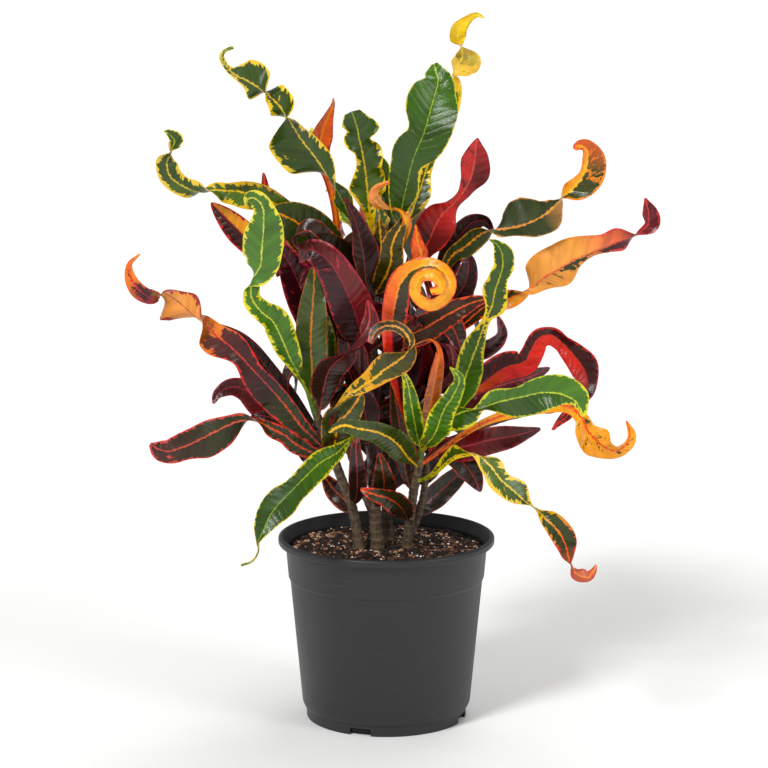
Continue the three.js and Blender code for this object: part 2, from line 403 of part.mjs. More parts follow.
// Values of t that lie at equal lengths along the line through the rows.
function evenSteps(rows, count) {
  const fine = 240;
  const points = Array.from({ length: fine + 1 }, (_, i) => new THREE.Vector3(...rowAt(rows, i / fine)));
  const lengths = [0];
  for (let i = 1; i <= fine; i++) lengths.push(lengths[i - 1] + points[i].distanceTo(points[i - 1]));
  const steps = [];
  let k = 0;
  for (let i = 0; i <= count; i++) {
    const wanted = (lengths[fine] * i) / count;
    while (k < fine - 1 && lengths[k + 1] < wanted) k++;
    const share = (wanted - lengths[k]) / Math.max(lengths[k + 1] - lengths[k], 1e-9);
    steps.push(Math.min((k + share) / fine, 1));
  }
  return steps;
}

// One closed blade: six corners to a section, two at each edge and two at the rib. Both faces are
// split into triangles alike.
function blade(leaf) {
  const rows = leaf.rib;
  const count = leaf.sections;
  const lobed = rows[0].length > 4;
  const face = new THREE.Vector3(...frontSide).applyAxisAngle(new THREE.Vector3(0, 0, 1), leaf.spin);
  const waves = leaf.waves ?? 3;
  const corners = [];
  const steps = evenSteps(rows, count);
  steps.forEach((t, i) => {
    const u = i / count;
    const row = rowAt(rows, t);
    const centre = new THREE.Vector3(...row);
    const ahead = new THREE.Vector3(...rowAt(rows, Math.min(t + 1e-3, 1)));
    const behind = new THREE.Vector3(...rowAt(rows, Math.max(t - 1e-3, 0)));
    const along = ahead.sub(behind).normalize();
    const up = face.clone().addScaledVector(along, -face.dot(along)).normalize();
    up.applyAxisAngle(along, radians(row[3]));
    const side = along.clone().cross(up);
    const widths = lobed ? [row[4], row[5]] : [lanceWidth(u, leaf), lanceWidth(u, leaf)];
    const [left, right] = widths.map((w) => Math.max(w, 0.8));
    const edge = (width, sign, phase) => {
      const wave = Math.sin(2 * Math.PI * (waves * u + phase)) * (leaf.ruffle ?? 0);
      const lift = width * Math.sin(radians(foldAngle)) + wave * Math.min(width / 18, 1);
      const reach = sign * width * Math.cos(radians(foldAngle));
      return centre.clone().addScaledVector(side, reach).addScaledVector(up, lift);
    };
    const ring = [
      [edge(left, -1, 0.5), edgeThickness / 2],
      [centre, ribThickness / 2],
      [edge(right, 1, 0), edgeThickness / 2],
    ];
    for (const [point, half] of ring) corners.push(point.clone().addScaledVector(up, half));
    for (const [point, half] of ring.reverse()) corners.push(point.clone().addScaledVector(up, -half));
  });
  const triangles = [];
  const ringSize = 6;
  for (let i = 0; i < count; i++) {
    for (let j = 0; j < ringSize; j++) {
      const [a, b] = [i * ringSize + j, i * ringSize + ((j + 1) % ringSize)];
      const [c, d] = [b + ringSize, a + ringSize];
      if (j < 3) triangles.push(a, b, c, a, c, d);
      else triangles.push(a, b, d, b, c, d);
    }
  }
  for (let j = 1; j < ringSize - 1; j++) {
    triangles.push(0, j + 1, j);
    const end = count * ringSize;
    triangles.push(end, end + j, end + j + 1);
  }
  const geometry = new THREE.BufferGeometry();
  const flat = corners.flatMap((corner) => corner.toArray());
  geometry.setAttribute("position", new THREE.Float32BufferAttribute(flat, 3));
  geometry.setIndex(triangles);
  return solidOf(geometry);
}

// The point of a stem's middle line at a height.
function pointAtHeight(line, height) {
  let [low, high] = [0, 1];
  for (let i = 0; i < 40; i++) {
    const middle = (low + high) / 2;
    if (rowAt(line, middle)[2] < height) low = middle;
    else high = middle;
  }
  return rowAt(line, low);
}

// A round stem along its line between two heights.
function stemSolid(line, radius, from, to) {
  const steps = Math.max(2, Math.round((to - from) / 45));
  const points = Array.from({ length: steps + 1 }, (_, i) => {
    return new THREE.Vector3(...pointAtHeight(line, from + ((to - from) * i) / steps));
  });
  const path = new THREE.CatmullRomCurve3(points, false, "catmullrom", 0.5);
  const section = new THREE.Shape().absarc(0, 0, radius, 0, 2 * Math.PI);
  const options = { steps: steps, curveSegments: woodySides / 2, bevelEnabled: false, extrudePath: path };
  return solidOf(new THREE.ExtrudeGeometry(section, options));
}

// A leaf with its root point on the stem put in front of its rows.
function rooted(leaf) {
  const root = pointAtHeight(stems[leaf.stem].line, leaf.from);
  const first = leaf.rib[0];
  const widths = first.length > 4 ? [stalkHalfWidth, stalkHalfWidth] : [];
  const sections = leaf.sections ?? (first.length > 4 ? leaf.rib.length : 6);
  return { ...leaf, spin: 0, sections, rib: [[...root, first[3], ...widths], ...leaf.rib] };
}

// A leaf turned about its root, sized and moved to another place.
function turned([form, stem, from, angle, size]) {
  const original = rooted(leaves.find((leaf) => leaf.name === form));
  const [root, ...rest] = original.rib;
  const place = pointAtHeight(stems[stem].line, from);
  const spin = radians(angle);
  const move = ([x, y, z, turn, ...widths]) => {
    const step = new THREE.Vector3(x - root[0], y - root[1], z - root[2]).multiplyScalar(size);
    step.applyAxisAngle(new THREE.Vector3(0, 0, 1), spin);
    return [place[0] + step.x, place[1] + step.y, place[2] + step.z, turn, ...widths.map((w) => w * size)];
  };
  const half = original.half ? original.half * size : undefined;
  const rib = [move(root), ...rest.map(move)];
  const youngFrom = stems[stem].youngFrom ?? Infinity;
  const sections = Math.max(4, Math.round(original.sections * 0.55));
  return { ...original, stem, from, spin, half, rib, sections, young: from > youngFrom };
}

// Woody stems and older leaves of a plant, or its young shoots with their leaves.
function plantSolid(plant, young) {
  const solids = [];
  for (const stem of Object.values(stems)) {
    if (stem.plant !== plant) continue;
    const [foot, tip] = [stem.line[0][2], stem.line.at(-1)[2]];
    if (!young) {
      const top = stem.youngFrom ? stem.youngFrom - 2 * touchGap : tip;
      solids.push(stemSolid(stem.line, stem.radius, foot, top));
    } else if (stem.youngFrom) {
      solids.push(stemSolid(stem.line, youngRadius, stem.youngFrom, tip));
    }
  }
  for (const leaf of foliage) {
    if (stems[leaf.stem].plant === plant && leaf.young === young) solids.push(blade(leaf));
  }
  return joined(solids);
}

function potSolid() {
  const collarTop = potHeight - lipHeight;
  const collarFoot = collarTop - collarHeight;
  const profile = [
    [0, 0], [footRadius, 0], [footRadius, footHeight],
    [bodyFootRadius - 1.5, footHeight + 1], [bodyFootRadius, shoulderHeight],
    [bodyTopRadius, collarFoot - 2.5], [collarFootRadius, collarFoot], [collarTopRadius, collarTop],
    [rimRadius - 1.2, collarTop], [rimRadius, collarTop + 1.5], [rimRadius, potHeight - 2],
    [rimRadius - 1.5, potHeight], [rimRadius - 4.5, potHeight], [rimRadius - 6, potHeight - 2],
    [collarTopRadius - potWall, collarTop - 4], [collarFootRadius - potWall, collarFoot],
    [bodyTopRadius - potWall, collarFoot - 5], [bodyFootRadius - potWall, shoulderHeight],
    [footRadius - potWall, footHeight - 0.5], [footRadius - potWall, potWall], [0, potWall],
  ].map(([x, y]) => new THREE.Vector2(x, y));
  const turnedPot = new THREE.LatheGeometry(profile, potSides).rotateX(Math.PI / 2);
  let pot = solidOf(turnedPot);
  for (let i = 0; i < notchCount; i++) {
    const notch = new THREE.BoxGeometry(2 * notchDepth, notchWidth, 2 * notchHeight);
    notch.translate(footRadius, 0, 0);
    notch.rotateZ(((i + notchPhase) * 2 * Math.PI) / notchCount);
    pot = pot.subtract(solidOf(notch));
  }
  return pot;
}

// Height of the lumpy surface of the mix.
function soilHeight(x, y) {
  const lumps = Math.sin(x / 11) * Math.cos(y / 13) + 0.6 * Math.sin((x + 2 * y) / 17);
  return soilTop + soilRoughness * lumps * 0.6;
}

function soilSolid() {
  const wall = potWall + touchGap;
  const collarFoot = potHeight - lipHeight - collarHeight;
  const floor = potWall + touchGap;
  const top = soilRings.map((radius) => [radius, soilTop]);
  const profile = [
    [0, floor], [footRadius - wall - 0.3, floor], [footRadius - wall - 0.3, footHeight - 0.8],
    [bodyFootRadius - wall - 0.5, shoulderHeight + 0.6],
    [bodyTopRadius - wall - 0.3, collarFoot - 6], [collarFootRadius - wall - 0.3, collarFoot + 2],
    [collarFootRadius - wall + 0.9, soilTop - 5], ...top, [0, soilTop],
  ].map(([x, y]) => new THREE.Vector2(x, y));
  const geometry = new THREE.LatheGeometry(profile, soilSides).rotateX(Math.PI / 2);
  const points = geometry.attributes.position;
  for (let i = 0; i < points.count; i++) {
    if (points.getZ(i) < soilTop - 1) continue;
    points.setZ(i, soilHeight(points.getX(i), points.getY(i)));
  }
  let soil = solidOf(geometry);
  for (const stem of Object.values(stems)) {
    const foot = stem.line[0];
    if (foot[2] > soilTop) continue;
    const radius = stem.radius + holeClearance;
    const hole = new THREE.CylinderGeometry(radius, radius, holeLength, holeSides).rotateX(Math.PI / 2);
    hole.translate(foot[0], foot[1], foot[2] - touchGap + holeLength / 2);
    soil = soil.subtract(solidOf(hole));
  }
  return soil;
}

function part(name, solid, color, roughness) {
  const material = new THREE.MeshStandardMaterial({ color, roughness, metalness: 0 });
  const mesh = new THREE.Mesh(geometryOf(solid), material);
  mesh.name = name;
  return mesh;
}

const foliage = [...leaves.map(rooted), ...turnedLeaves.map(turned)];

const croton = new THREE.Group();
croton.add(part("pot", potSolid(), 0x36383a, 0.5));
croton.add(part("potting_mix", soilSolid(), 0x3a2a20, 0.95));
for (const plant of ["centre", "left", "right", "back"]) {
  croton.add(part(`${plant}_plant`, plantSolid(plant, false), tones.mature, 0.35));
  croton.add(part(`${plant}_young_shoot`, plantSolid(plant, true), tones.young, 0.3));
}

export default croton;
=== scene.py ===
"""Potted croton: twisted, blotched leaves on woody stems in a 10 inch grower's pot.

The sizes in the tables are millimetres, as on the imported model. Meshes are metres, +Z up, with the
origin in the middle of the pot's foot.
"""

import math

import bpy
import numpy as np
from bpy.props import FloatProperty, FloatVectorProperty, IntProperty, PointerProperty
from bpy.types import Operator, Panel, PropertyGroup
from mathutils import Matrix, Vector


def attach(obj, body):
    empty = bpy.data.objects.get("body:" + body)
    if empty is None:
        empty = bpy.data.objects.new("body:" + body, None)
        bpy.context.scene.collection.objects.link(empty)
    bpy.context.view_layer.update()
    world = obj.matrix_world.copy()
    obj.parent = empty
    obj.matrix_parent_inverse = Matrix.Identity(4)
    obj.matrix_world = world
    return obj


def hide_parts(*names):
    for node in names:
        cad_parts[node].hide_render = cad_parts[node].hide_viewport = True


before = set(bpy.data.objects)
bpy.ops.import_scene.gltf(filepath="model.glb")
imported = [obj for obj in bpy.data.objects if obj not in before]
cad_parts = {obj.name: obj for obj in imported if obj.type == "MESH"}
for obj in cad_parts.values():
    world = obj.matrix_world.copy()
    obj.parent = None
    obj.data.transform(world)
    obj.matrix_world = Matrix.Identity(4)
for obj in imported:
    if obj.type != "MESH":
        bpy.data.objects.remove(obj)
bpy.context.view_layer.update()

bl_info = {
    "name": "Potted croton",
    "version": (1, 0, 0),
    "blender": (4, 5, 0),
    "location": "View3D > Sidebar > Croton",
    "description": "A croton with twisted leaves in a 10 inch grower's pot",
    "category": "Object",
}

MM = 0.001
ROOT_BODY = "root"

# Nodes that the trees use often: a type, and the setting that makes it what its name says.
PLUS, MINUS, TIMES, DIVIDED, TIMES_PLUS, POWER, ABSOLUTE, SIGN, SINE, COSINE, ABOVE, BELOW = (
    ("ShaderNodeMath", {"operation": operation}) for operation in (
        "ADD", "SUBTRACT", "MULTIPLY", "DIVIDE", "MULTIPLY_ADD", "POWER", "ABSOLUTE", "SIGN", "SINE",
        "COSINE", "GREATER_THAN", "LESS_THAN",
    )
)
VECTOR_PLUS, VECTOR_MINUS, SCALED, VECTOR_TIMES_PLUS = (
    ("ShaderNodeVectorMath", {"operation": operation})
    for operation in ("ADD", "SUBTRACT", "SCALE", "MULTIPLY_ADD")
)
MIX = "ShaderNodeMix"
BLEND = ("ShaderNodeMix", {"data_type": "RGBA"})
RANGE = "ShaderNodeMapRange"
EASED = ("ShaderNodeMapRange", {"interpolation_type": "SMOOTHSTEP"})
READ_NUMBER, READ_VECTOR = (
    ("GeometryNodeInputNamedAttribute", {"data_type": kind}) for kind in ("FLOAT", "FLOAT_VECTOR")
)
STORE_NUMBER, STORE_VECTOR = (
    ("GeometryNodeStoreNamedAttribute", {"data_type": kind}) for kind in ("FLOAT", "FLOAT_VECTOR")
)
RANDOM_VECTOR = ("FunctionNodeRandomValue", {"data_type": "FLOAT_VECTOR"})
RANDOM_NUMBER = ("FunctionNodeRandomValue", {"data_type": "FLOAT"})
ATTRIBUTE = "ShaderNodeAttribute"
NOISE = "ShaderNodeTexNoise"
SPLIT = "ShaderNodeSeparateXYZ"
JOINED = "ShaderNodeCombineXYZ"
SHADER = "ShaderNodeBsdfPrincipled"

# ---- stems: a line of points from foot to tip. Above young_from a stem is green growth ----
STEMS = {
    "centre": dict(
        plant="centre", radius=6.5, young_from=484,
        line=[[-10, 0, 150], [-10, 0, 194], [-12, 2, 222], [-16, 5, 323], [-16, 5, 424], [-15, 4, 480],
            [-15, 2, 530]]
    ),
    "back_left": dict(
        plant="centre", radius=4.6,
        line=[[-12, 2, 222], [-30, 30, 262], [-45, 45, 310], [-54, 54, 380], [-56, 58, 430],
            [-54, 58, 472]]
    ),
    "back_right": dict(
        plant="centre", radius=4.6,
        line=[[-13, 2, 240], [8, 22, 262], [30, 40, 300], [45, 50, 360], [54, 54, 416], [55, 52, 461]]
    ),
    "left": dict(
        plant="left", radius=5.2, young_from=345,
        line=[[-31, -5, 150], [-31, -5, 194], [-37, -4, 235], [-50, -3, 271], [-63, -2, 305],
            [-73, -2, 332], [-81, -4, 354], [-87, -8, 375]]
    ),
    "left_low": dict(
        plant="left", radius=3.6,
        line=[[-37, -4, 232], [-38, -16, 252], [-37, -22, 276], [-34, -24, 300]]
    ),
    "right": dict(
        plant="right", radius=5, young_from=296,
        line=[[23, -8, 150], [23, -8, 196], [26, -8, 222], [30, -10, 257], [35, -12, 284], [40, -16, 313]]
    ),
    "right_low": dict(
        plant="right", radius=3.8,
        line=[[25, -8, 205], [35, 2, 225], [41, 6, 250], [45, 8, 286]]
    ),
    "back": dict(
        plant="back", radius=5.4, young_from=455,
        line=[[2, 34, 150], [2, 34, 196], [0, 50, 230], [0, 75, 290], [4, 100, 350], [6, 114, 428],
            [4, 118, 488]]
    ),
}

# ---- leaves ----
# height is where a leaf leaves its stem. A row of rib is across, away, up, the turn of the blade
# about its rib in degrees and, where the outline is lobed, the width of its two sides. A leaf
# without those has one half width, fullest at its peak. ruffle is how far its edges wave, and waves
# is how often. Young leaves are the green ones on a shoot.
LEAVES = [
    dict(
        name="top_left_corkscrew", stem="centre", young=True, height=505, ruffle=2.5, waves=5,
        rib=[[-27, -12, 531, 0, 3, 3], [-38, -23, 562, 0, 4, 4], [-48, -29, 583, 20, 11, 12],
            [-59, -35, 603, 90, 10, 10], [-73, -41, 626, 180, 16, 30], [-88, -45, 646, 180, 14, 36],
            [-97, -47, 660, 190, 9, 34], [-105, -47, 672, 265, 12, 21], [-112, -48, 684, 350, 14, 19],
            [-122, -48, 694, 370, 8, 19], [-129, -47, 700, 450, 11, 13], [-137, -46, 706, 530, 21, 18],
            [-147, -45, 712, 540, 24, 10], [-158, -44, 717, 540, 18, 5], [-167, -42, 724, 540, 4, 4],
            [-175, -39, 736, 540, 3, 3], [-172, -37, 743, 540, 2, 2], [-163, -35, 747, 540, 2, 2]]
    ),
    dict(
        name="top_right_gold", stem="centre", young=True, height=520, ruffle=2, waves=4,
        rib=[[20, 28, 550, 0, 3, 3], [34, 42, 578, 0, 9, 14], [43, 51, 604, 0, 6, 7],
            [55, 58, 633, 0, 6, 6], [67, 61, 664, 0, 9, 10], [74, 61, 686, 10, 10, 9],
            [75, 60, 701, 40, 8, 8], [73, 59, 711, 90, 7, 7], [78, 57, 721, 165, 19, 9],
            [83, 55, 730, 180, 22, 8], [82, 54, 740, 260, 8, 7], [78, 51, 751, 350, 9, 9],
            [80, 47, 762, 360, 9, 9], [89, 43, 772, 360, 5, 5], [98, 39, 777, 360, 3, 3],
            [106, 35, 774, 360, 1, 1]]
    ),
    dict(
        name="big_green", stem="centre", young=True, height=516, ruffle=3,
        rib=[[11, -31, 553, 20, 3, 3], [16, -44, 576, 10, 13, 8], [21, -53, 599, 0, 20, 14],
            [26, -59, 622, 0, 23, 11], [32, -61, 640, -5, 25, 24], [40, -60, 659, -5, 18, 29],
            [46, -56, 680, 0, 28, 30], [51, -49, 697, 0, 27, 25], [55, -42, 711, 0, 15, 17],
            [53, -36, 721, -10, 12, 10], [51, -30, 729, -20, 4, 4]]
    ),
    dict(
        name="crown_ruffled", stem="centre", young=True, height=524, ruffle=5, waves=5,
        rib=[[-16, -8, 550, 0, 3, 3], [-19, -19, 576, 0, 9, 9], [-21, -27, 598, 5, 20, 20],
            [-23, -36, 620, -10, 10, 20], [-26, -43, 637, 10, 9, 21], [-29, -48, 651, -10, 17, 13],
            [-31, -52, 662, 10, 12, 23], [-34, -57, 673, 0, 15, 14], [-37, -60, 681, 0, 9, 9]]
    ),
    dict(
        name="orange_tip", stem="back_left", height=460, ruffle=3, waves=2,
        rib=[[-58, 50, 504, 0, 4, 4], [-55, 46, 543, 0, 4, 4], [-58, 44, 571, 0, 4, 4],
            [-63, 41, 600, 0, 7, 7], [-72, 39, 626, 10, 10, 10], [-71, 38, 647, 10, 11, 13],
            [-65, 37, 665, 20, 7, 8], [-59, 36, 679, 30, 3, 3], [-58, 35, 687, 30, 1, 1]]
    ),
    dict(
        name="left_gold_hook", stem="back_left", height=460, ruffle=2, waves=4,
        rib=[[-75, 34, 520, 0, 3, 3], [-95, 23, 552, 0, 10, 9], [-129, 11, 578, 0, 15, 14],
            [-154, 5, 587, 0, 18, 14], [-175, -1, 590, 0, 14, 9], [-189, -5, 590, 60, 14, 10],
            [-201, -7, 589, 110, 13, 15], [-219, -9, 595, 180, 11, 12], [-233, -12, 606, 180, 13, 13],
            [-237, -13, 621, 190, 12, 12], [-232, -14, 633, 270, 8, 8], [-228, -14, 645, 345, 6, 11],
            [-234, -15, 653, 355, 3, 6], [-239, -15, 656, 360, 1, 1]]
    ),
    dict(
        name="left_orange_back", stem="back_left", height=450, half=15, peak=0.65, ruffle=3, waves=2,
        rib=[[-85, 46, 481, -10], [-117, 35, 506, -10], [-150, 26, 532, 0], [-173, 17, 556, 0],
            [-191, 10, 575, 10]]
    ),
    dict(
        name="red_tip_back", stem="back_left", height=439, half=10,
        rib=[[-83, 68, 480, 30], [-111, 69, 531, 20], [-131, 63, 566, 10], [-136, 55, 603, 30]]
    ),
    dict(
        name="left_lime_curl", stem="left", young=True, height=360, ruffle=3, waves=6,
        rib=[[-93, -27, 387, 0, 3, 3], [-104, -45, 413, 0, 9, 13], [-113, -59, 438, 0, 13, 17],
            [-121, -71, 457, 10, 13, 18], [-133, -81, 469, 20, 11, 14], [-142, -89, 483, 20, 11, 10],
            [-144, -95, 495, 10, 8, 10], [-142, -99, 506, 80, 10, 11], [-137, -104, 515, 160, 16, 16],
            [-132, -109, 526, 178, 20, 20], [-131, -114, 541, 180, 23, 21],
            [-129, -119, 557, 180, 22, 21], [-128, -123, 573, 180, 19, 14], [-129, -126, 587, 190, 12, 9],
            [-135, -128, 596, 170, 9, 12], [-143, -129, 597, 140, 7, 10], [-146, -130, 590, 110, 3, 3]]
    ),
    dict(
        name="left_dark_green", stem="back_left", height=460, half=26, ruffle=4, waves=2, peak=0.6,
        rib=[[-53, 39, 495, 0], [-67, 27, 523, 0], [-84, 18, 543, 0], [-100, 12, 555, 0],
            [-116, 8, 563, 10], [-129, 5, 567, 20]]
    ),
    dict(
        name="olive_fold", stem="centre", height=478, half=18, ruffle=4, waves=2,
        rib=[[-37, -20, 508, 0], [-52, -32, 526, -10], [-69, -40, 540, -10], [-84, -46, 552, 30],
            [-97, -48, 544, 90], [-91, -50, 530, 120]]
    ),
    dict(
        name="maroon_arch", stem="centre", height=400, half=23, ruffle=4, waves=2,
        rib=[[-27, -27, 435, 0], [-37, -50, 472, -5], [-50, -58, 503, -10], [-65, -56, 524, -10],
            [-83, -49, 532, 10], [-93, -40, 517, 40]]
    ),
    dict(
        name="maroon_pink", stem="back_left", height=372, half=22, ruffle=3, waves=2,
        rib=[[-68, 34, 414, 0], [-79, 24, 446, 10], [-92, 14, 476, 15], [-105, 10, 506, 10],
            [-117, 10, 525, 0], [-127, 10, 536, 0]]
    ),
    dict(
        name="silver_upright", stem="left", young=True, height=358, half=17, ruffle=4, blunt=0.6,
        rib=[[-81, -28, 395, 0], [-82, -43, 433, 5], [-80, -49, 466, 5], [-78, -47, 492, 0],
            [-78, -42, 513, 0]]
    ),
    dict(
        name="lime_sliver", stem="left", young=True, height=352, half=10,
        rib=[[-67, -20, 393, 30], [-64, -26, 427, 20], [-66, -28, 461, 10]]
    ),
    dict(
        name="maroon_grey", stem="centre", height=377, half=15, ruffle=3, waves=2,
        rib=[[-43, -4, 417, 0], [-51, -5, 450, -10], [-58, -1, 479, -10], [-66, 5, 500, 0]]
    ),
    dict(
        name="gold_loop", stem="left", height=327, ruffle=3, waves=2,
        rib=[[-46, -72, 374, 0, 3, 3], [-31, -93, 388, 0, 9, 7], [-15, -105, 401, 0, 12, 10],
            [-1, -114, 414, 0, 16, 13], [13, -121, 425, 10, 15, 15], [23, -127, 437, 60, 8, 11],
            [24, -131, 448, 150, 6, 6], [18, -135, 458, 180, 6, 6], [8, -139, 464, 180, 6, 6],
            [-4, -143, 464, 180, 6, 6], [-12, -146, 458, 180, 6, 5], [-17, -150, 448, 180, 3, 3]]
    ),
    dict(
        name="brown_red_twist", stem="left", height=336, half=16, ruffle=4, waves=2,
        rib=[[-67, -47, 385, 0], [-59, -71, 409, 20], [-43, -85, 426, 70], [-28, -88, 442, 100],
            [-18, -80, 460, 150], [-20, -60, 479, 170]]
    ),
    dict(
        name="orange_coil", stem="right", height=288, ruffle=1, waves=2,
        rib=[[17, -64, 365, 0, 4, 4], [9, -102, 416, 0, 10, 10], [6, -119, 457, 0, 11, 14],
            [9, -131, 488, 0, 13, 15], [16, -139, 512, -15, 13, 13], [30, -145, 526, -20, 10, 10],
            [46, -151, 530, -25, 8, 9], [59, -156, 524, -25, 8, 9], [65, -160, 511, -25, 8, 9],
            [59, -164, 498, -25, 8, 8], [46, -168, 492, -25, 8, 8], [33, -172, 499, -25, 7, 7],
            [30, -175, 512, -25, 7, 7], [37, -179, 523, -25, 7, 7], [50, -182, 523, -20, 7, 7],
            [55, -185, 512, -15, 6, 6], [45, -188, 508, 0, 4, 4]]
    ),
    dict(
        name="ochre_curl", stem="centre", height=478, ruffle=2,
        rib=[[4, -30, 520, 0, 3, 3], [16, -52, 545, 0, 5, 6], [21, -61, 563, 20, 6, 6],
            [12, -67, 576, 80, 5, 5], [-3, -73, 580, 140, 6, 7], [-13, -78, 590, 180, 6, 6],
            [-11, -81, 602, 200, 5, 4], [3, -86, 609, 200, 2, 2]]
    ),
    dict(
        name="olive_gold_centre", stem="centre", height=470, half=13, ruffle=3,
        rib=[[3, -40, 511, 0], [6, -56, 539, 10], [15, -62, 560, 20], [23, -60, 575, 30]]
    ),
    dict(
        name="dark_orange_edge", stem="centre", height=465, half=12, ruffle=2,
        rib=[[-4, -14, 503, 0], [-6, -23, 536, 0], [-8, -25, 562, 10]]
    ),
    dict(
        name="red_upper", stem="back_right", height=456, ruffle=3,
        rib=[[40, 38, 506, 0, 7, 7], [49, 30, 536, 0, 21, 19], [60, 25, 559, 0, 19, 21],
            [72, 21, 572, 20, 10, 8], [81, 18, 583, 30, 7, 8], [89, 16, 596, 20, 10, 12],
            [94, 14, 609, 0, 14, 19], [96, 12, 624, 0, 15, 16], [97, 11, 636, 0, 8, 10],
            [99, 10, 646, 0, 1, 1]]
    ),
    dict(
        name="orange_pointed", stem="centre", height=306,
        rib=[[9, -20, 484, 0, 3, 3], [27, -41, 507, 0, 4, 5], [37, -49, 525, 0, 11, 8],
            [34, -54, 540, 0, 9, 6], [32, -57, 551, 0, 4, 4], [31, -60, 560, 0, 1, 1]]
    ),
    dict(
        name="maroon_hump", stem="back_right", height=456, half=13,
        rib=[[73, 45, 518, 0], [90, 41, 546, 0], [107, 38, 552, 10], [118, 35, 541, 20]]
    ),
    dict(
        name="right_sickle", stem="back_right", height=448, ruffle=2, waves=4,
        rib=[[68, 30, 507, 0, 7, 7], [87, 20, 526, 0, 11, 12], [105, 12, 542, 20, 11, 11],
            [117, 8, 546, 90, 8, 8], [127, 5, 547, 165, 9, 16], [137, 2, 549, 178, 10, 27],
            [147, -2, 552, 180, 14, 29], [159, -5, 557, 180, 20, 28], [173, -10, 566, 180, 22, 18],
            [183, -13, 576, 200, 12, 9], [190, -16, 584, 270, 9, 8], [202, -19, 595, 352, 10, 17],
            [212, -23, 611, 360, 5, 23], [216, -26, 628, 360, 6, 20], [213, -28, 639, 360, 4, 11],
            [205, -29, 641, 360, 4, 6], [202, -30, 637, 360, 2, 2]]
    ),
    dict(
        name="right_orange_long", stem="back_right", height=422, ruffle=2, waves=4,
        rib=[[82, 45, 433, 0, 6, 6], [110, 33, 458, 0, 10, 10], [134, 25, 467, 0, 11, 11],
            [150, 20, 475, 50, 10, 10], [161, 17, 482, 150, 9, 20], [174, 13, 493, 178, 16, 27],
            [190, 9, 503, 180, 21, 27], [207, 5, 514, 180, 10, 25], [224, 1, 522, 180, 5, 20],
            [239, -1, 528, 180, 7, 15], [254, -4, 535, 190, 12, 15], [267, -5, 540, 240, 7, 8],
            [275, -6, 544, 290, 5, 7], [284, -8, 554, 340, 4, 13], [284, -9, 567, 355, 7, 11],
            [280, -10, 583, 360, 1, 1]]
    ),
    dict(
        name="right_green_curl", stem="right", young=True, height=302, ruffle=3, waves=4,
        rib=[[74, -58, 356, 0, 3, 3], [80, -70, 381, 0, 9, 15], [87, -83, 407, 0, 14, 17],
            [96, -94, 435, 0, 15, 9], [105, -104, 464, 0, 5, 5], [111, -109, 480, 0, 7, 15],
            [114, -112, 496, 0, 14, 14], [118, -114, 510, 20, 14, 9], [122, -115, 524, 0, 10, 12],
            [121, -116, 538, -10, 9, 12], [115, -116, 548, -20, 4, 5], [108, -115, 552, -20, 1, 1]]
    ),
    dict(
        name="maroon_bow", stem="back_right", height=395, half=12,
        rib=[[84, 49, 405, 0], [110, 44, 409, 20], [126, 39, 425, 40], [122, 35, 448, 60]]
    ),
    dict(
        name="maroon_drop", stem="back_right", height=448, half=12,
        rib=[[73, 35, 464, 0], [86, 25, 483, 0], [90, 22, 506, 10], [83, 25, 523, 10]]
    ),
    dict(
        name="right_red_ring", stem="right", height=280, ruffle=1.5, waves=4,
        rib=[[83, 10, 354, 0, 6, 6], [108, 14, 376, 0, 17, 10], [132, 15, 392, 0, 19, 15],
            [152, 15, 398, 0, 14, 15], [159, 15, 411, 10, 11, 15], [167, 13, 425, 20, 12, 13],
            [181, 12, 429, 20, 12, 12], [194, 10, 420, 20, 12, 11], [205, 6, 408, 0, 15, 13],
            [216, 2, 394, 0, 18, 15], [221, -3, 377, 0, 11, 12], [216, -9, 362, 40, 9, 8],
            [201, -15, 352, 80, 8, 7], [182, -30, 331, 30, 2, 2]]
    ),
    dict(
        name="lime_long", stem="right", young=True, height=309, ruffle=3, waves=4,
        rib=[[52, -50, 335, 0, 3, 3], [65, -75, 351, 0, 10, 13], [82, -98, 365, 10, 11, 19],
            [99, -117, 373, 60, 10, 9], [119, -135, 383, 20, 19, 17], [140, -147, 390, 0, 13, 22],
            [161, -154, 396, 0, 18, 20], [179, -157, 396, 0, 21, 15], [194, -156, 390, 0, 19, 7],
            [202, -153, 380, 0, 10, 3], [206, -150, 370, 0, 3, 2]]
    ),
    dict(
        name="lime_curled", stem="right", young=True, height=306, half=13, peak=0.4, ruffle=4, waves=2.5,
        rib=[[52, -77, 337, 10], [60, -105, 366, 0], [71, -128, 390, 0], [76, -142, 408, 10],
            [66, -150, 422, 60]]
    ),
    dict(
        name="lime_toothed", stem="right", young=True, height=304, half=9, ruffle=3, waves=5,
        rib=[[32, -56, 336, 0], [27, -84, 368, 0], [23, -98, 393, 0], [17, -108, 411, 0]]
    ),
    dict(
        name="green_droop", stem="centre", height=329, ruffle=2, waves=4,
        rib=[[-40, -48, 323, 0, 3, 3], [-53, -83, 317, 0, 9, 10], [-71, -113, 312, 0, 15, 14],
            [-86, -140, 303, 0, 16, 13], [-99, -159, 293, 0, 15, 12], [-111, -171, 283, 0, 18, 17],
            [-121, -179, 271, 10, 16, 15], [-128, -185, 256, 20, 8, 11], [-133, -187, 244, 60, 4, 5],
            [-134, -188, 233, 90, 3, 3], [-140, -187, 223, 120, 2, 2], [-152, -185, 218, 160, 2, 2]]
    ),
    dict(
        name="dark_gold_rib", stem="right", height=285, half=14, ruffle=3, waves=2,
        rib=[[23, -49, 305, 0], [11, -86, 328, 0], [-7, -114, 345, -5], [-28, -131, 353, -5],
            [-46, -135, 357, 0], [-61, -130, 349, 0]]
    ),
    dict(
        name="left_red_long", stem="left", height=296, ruffle=2.5, waves=5,
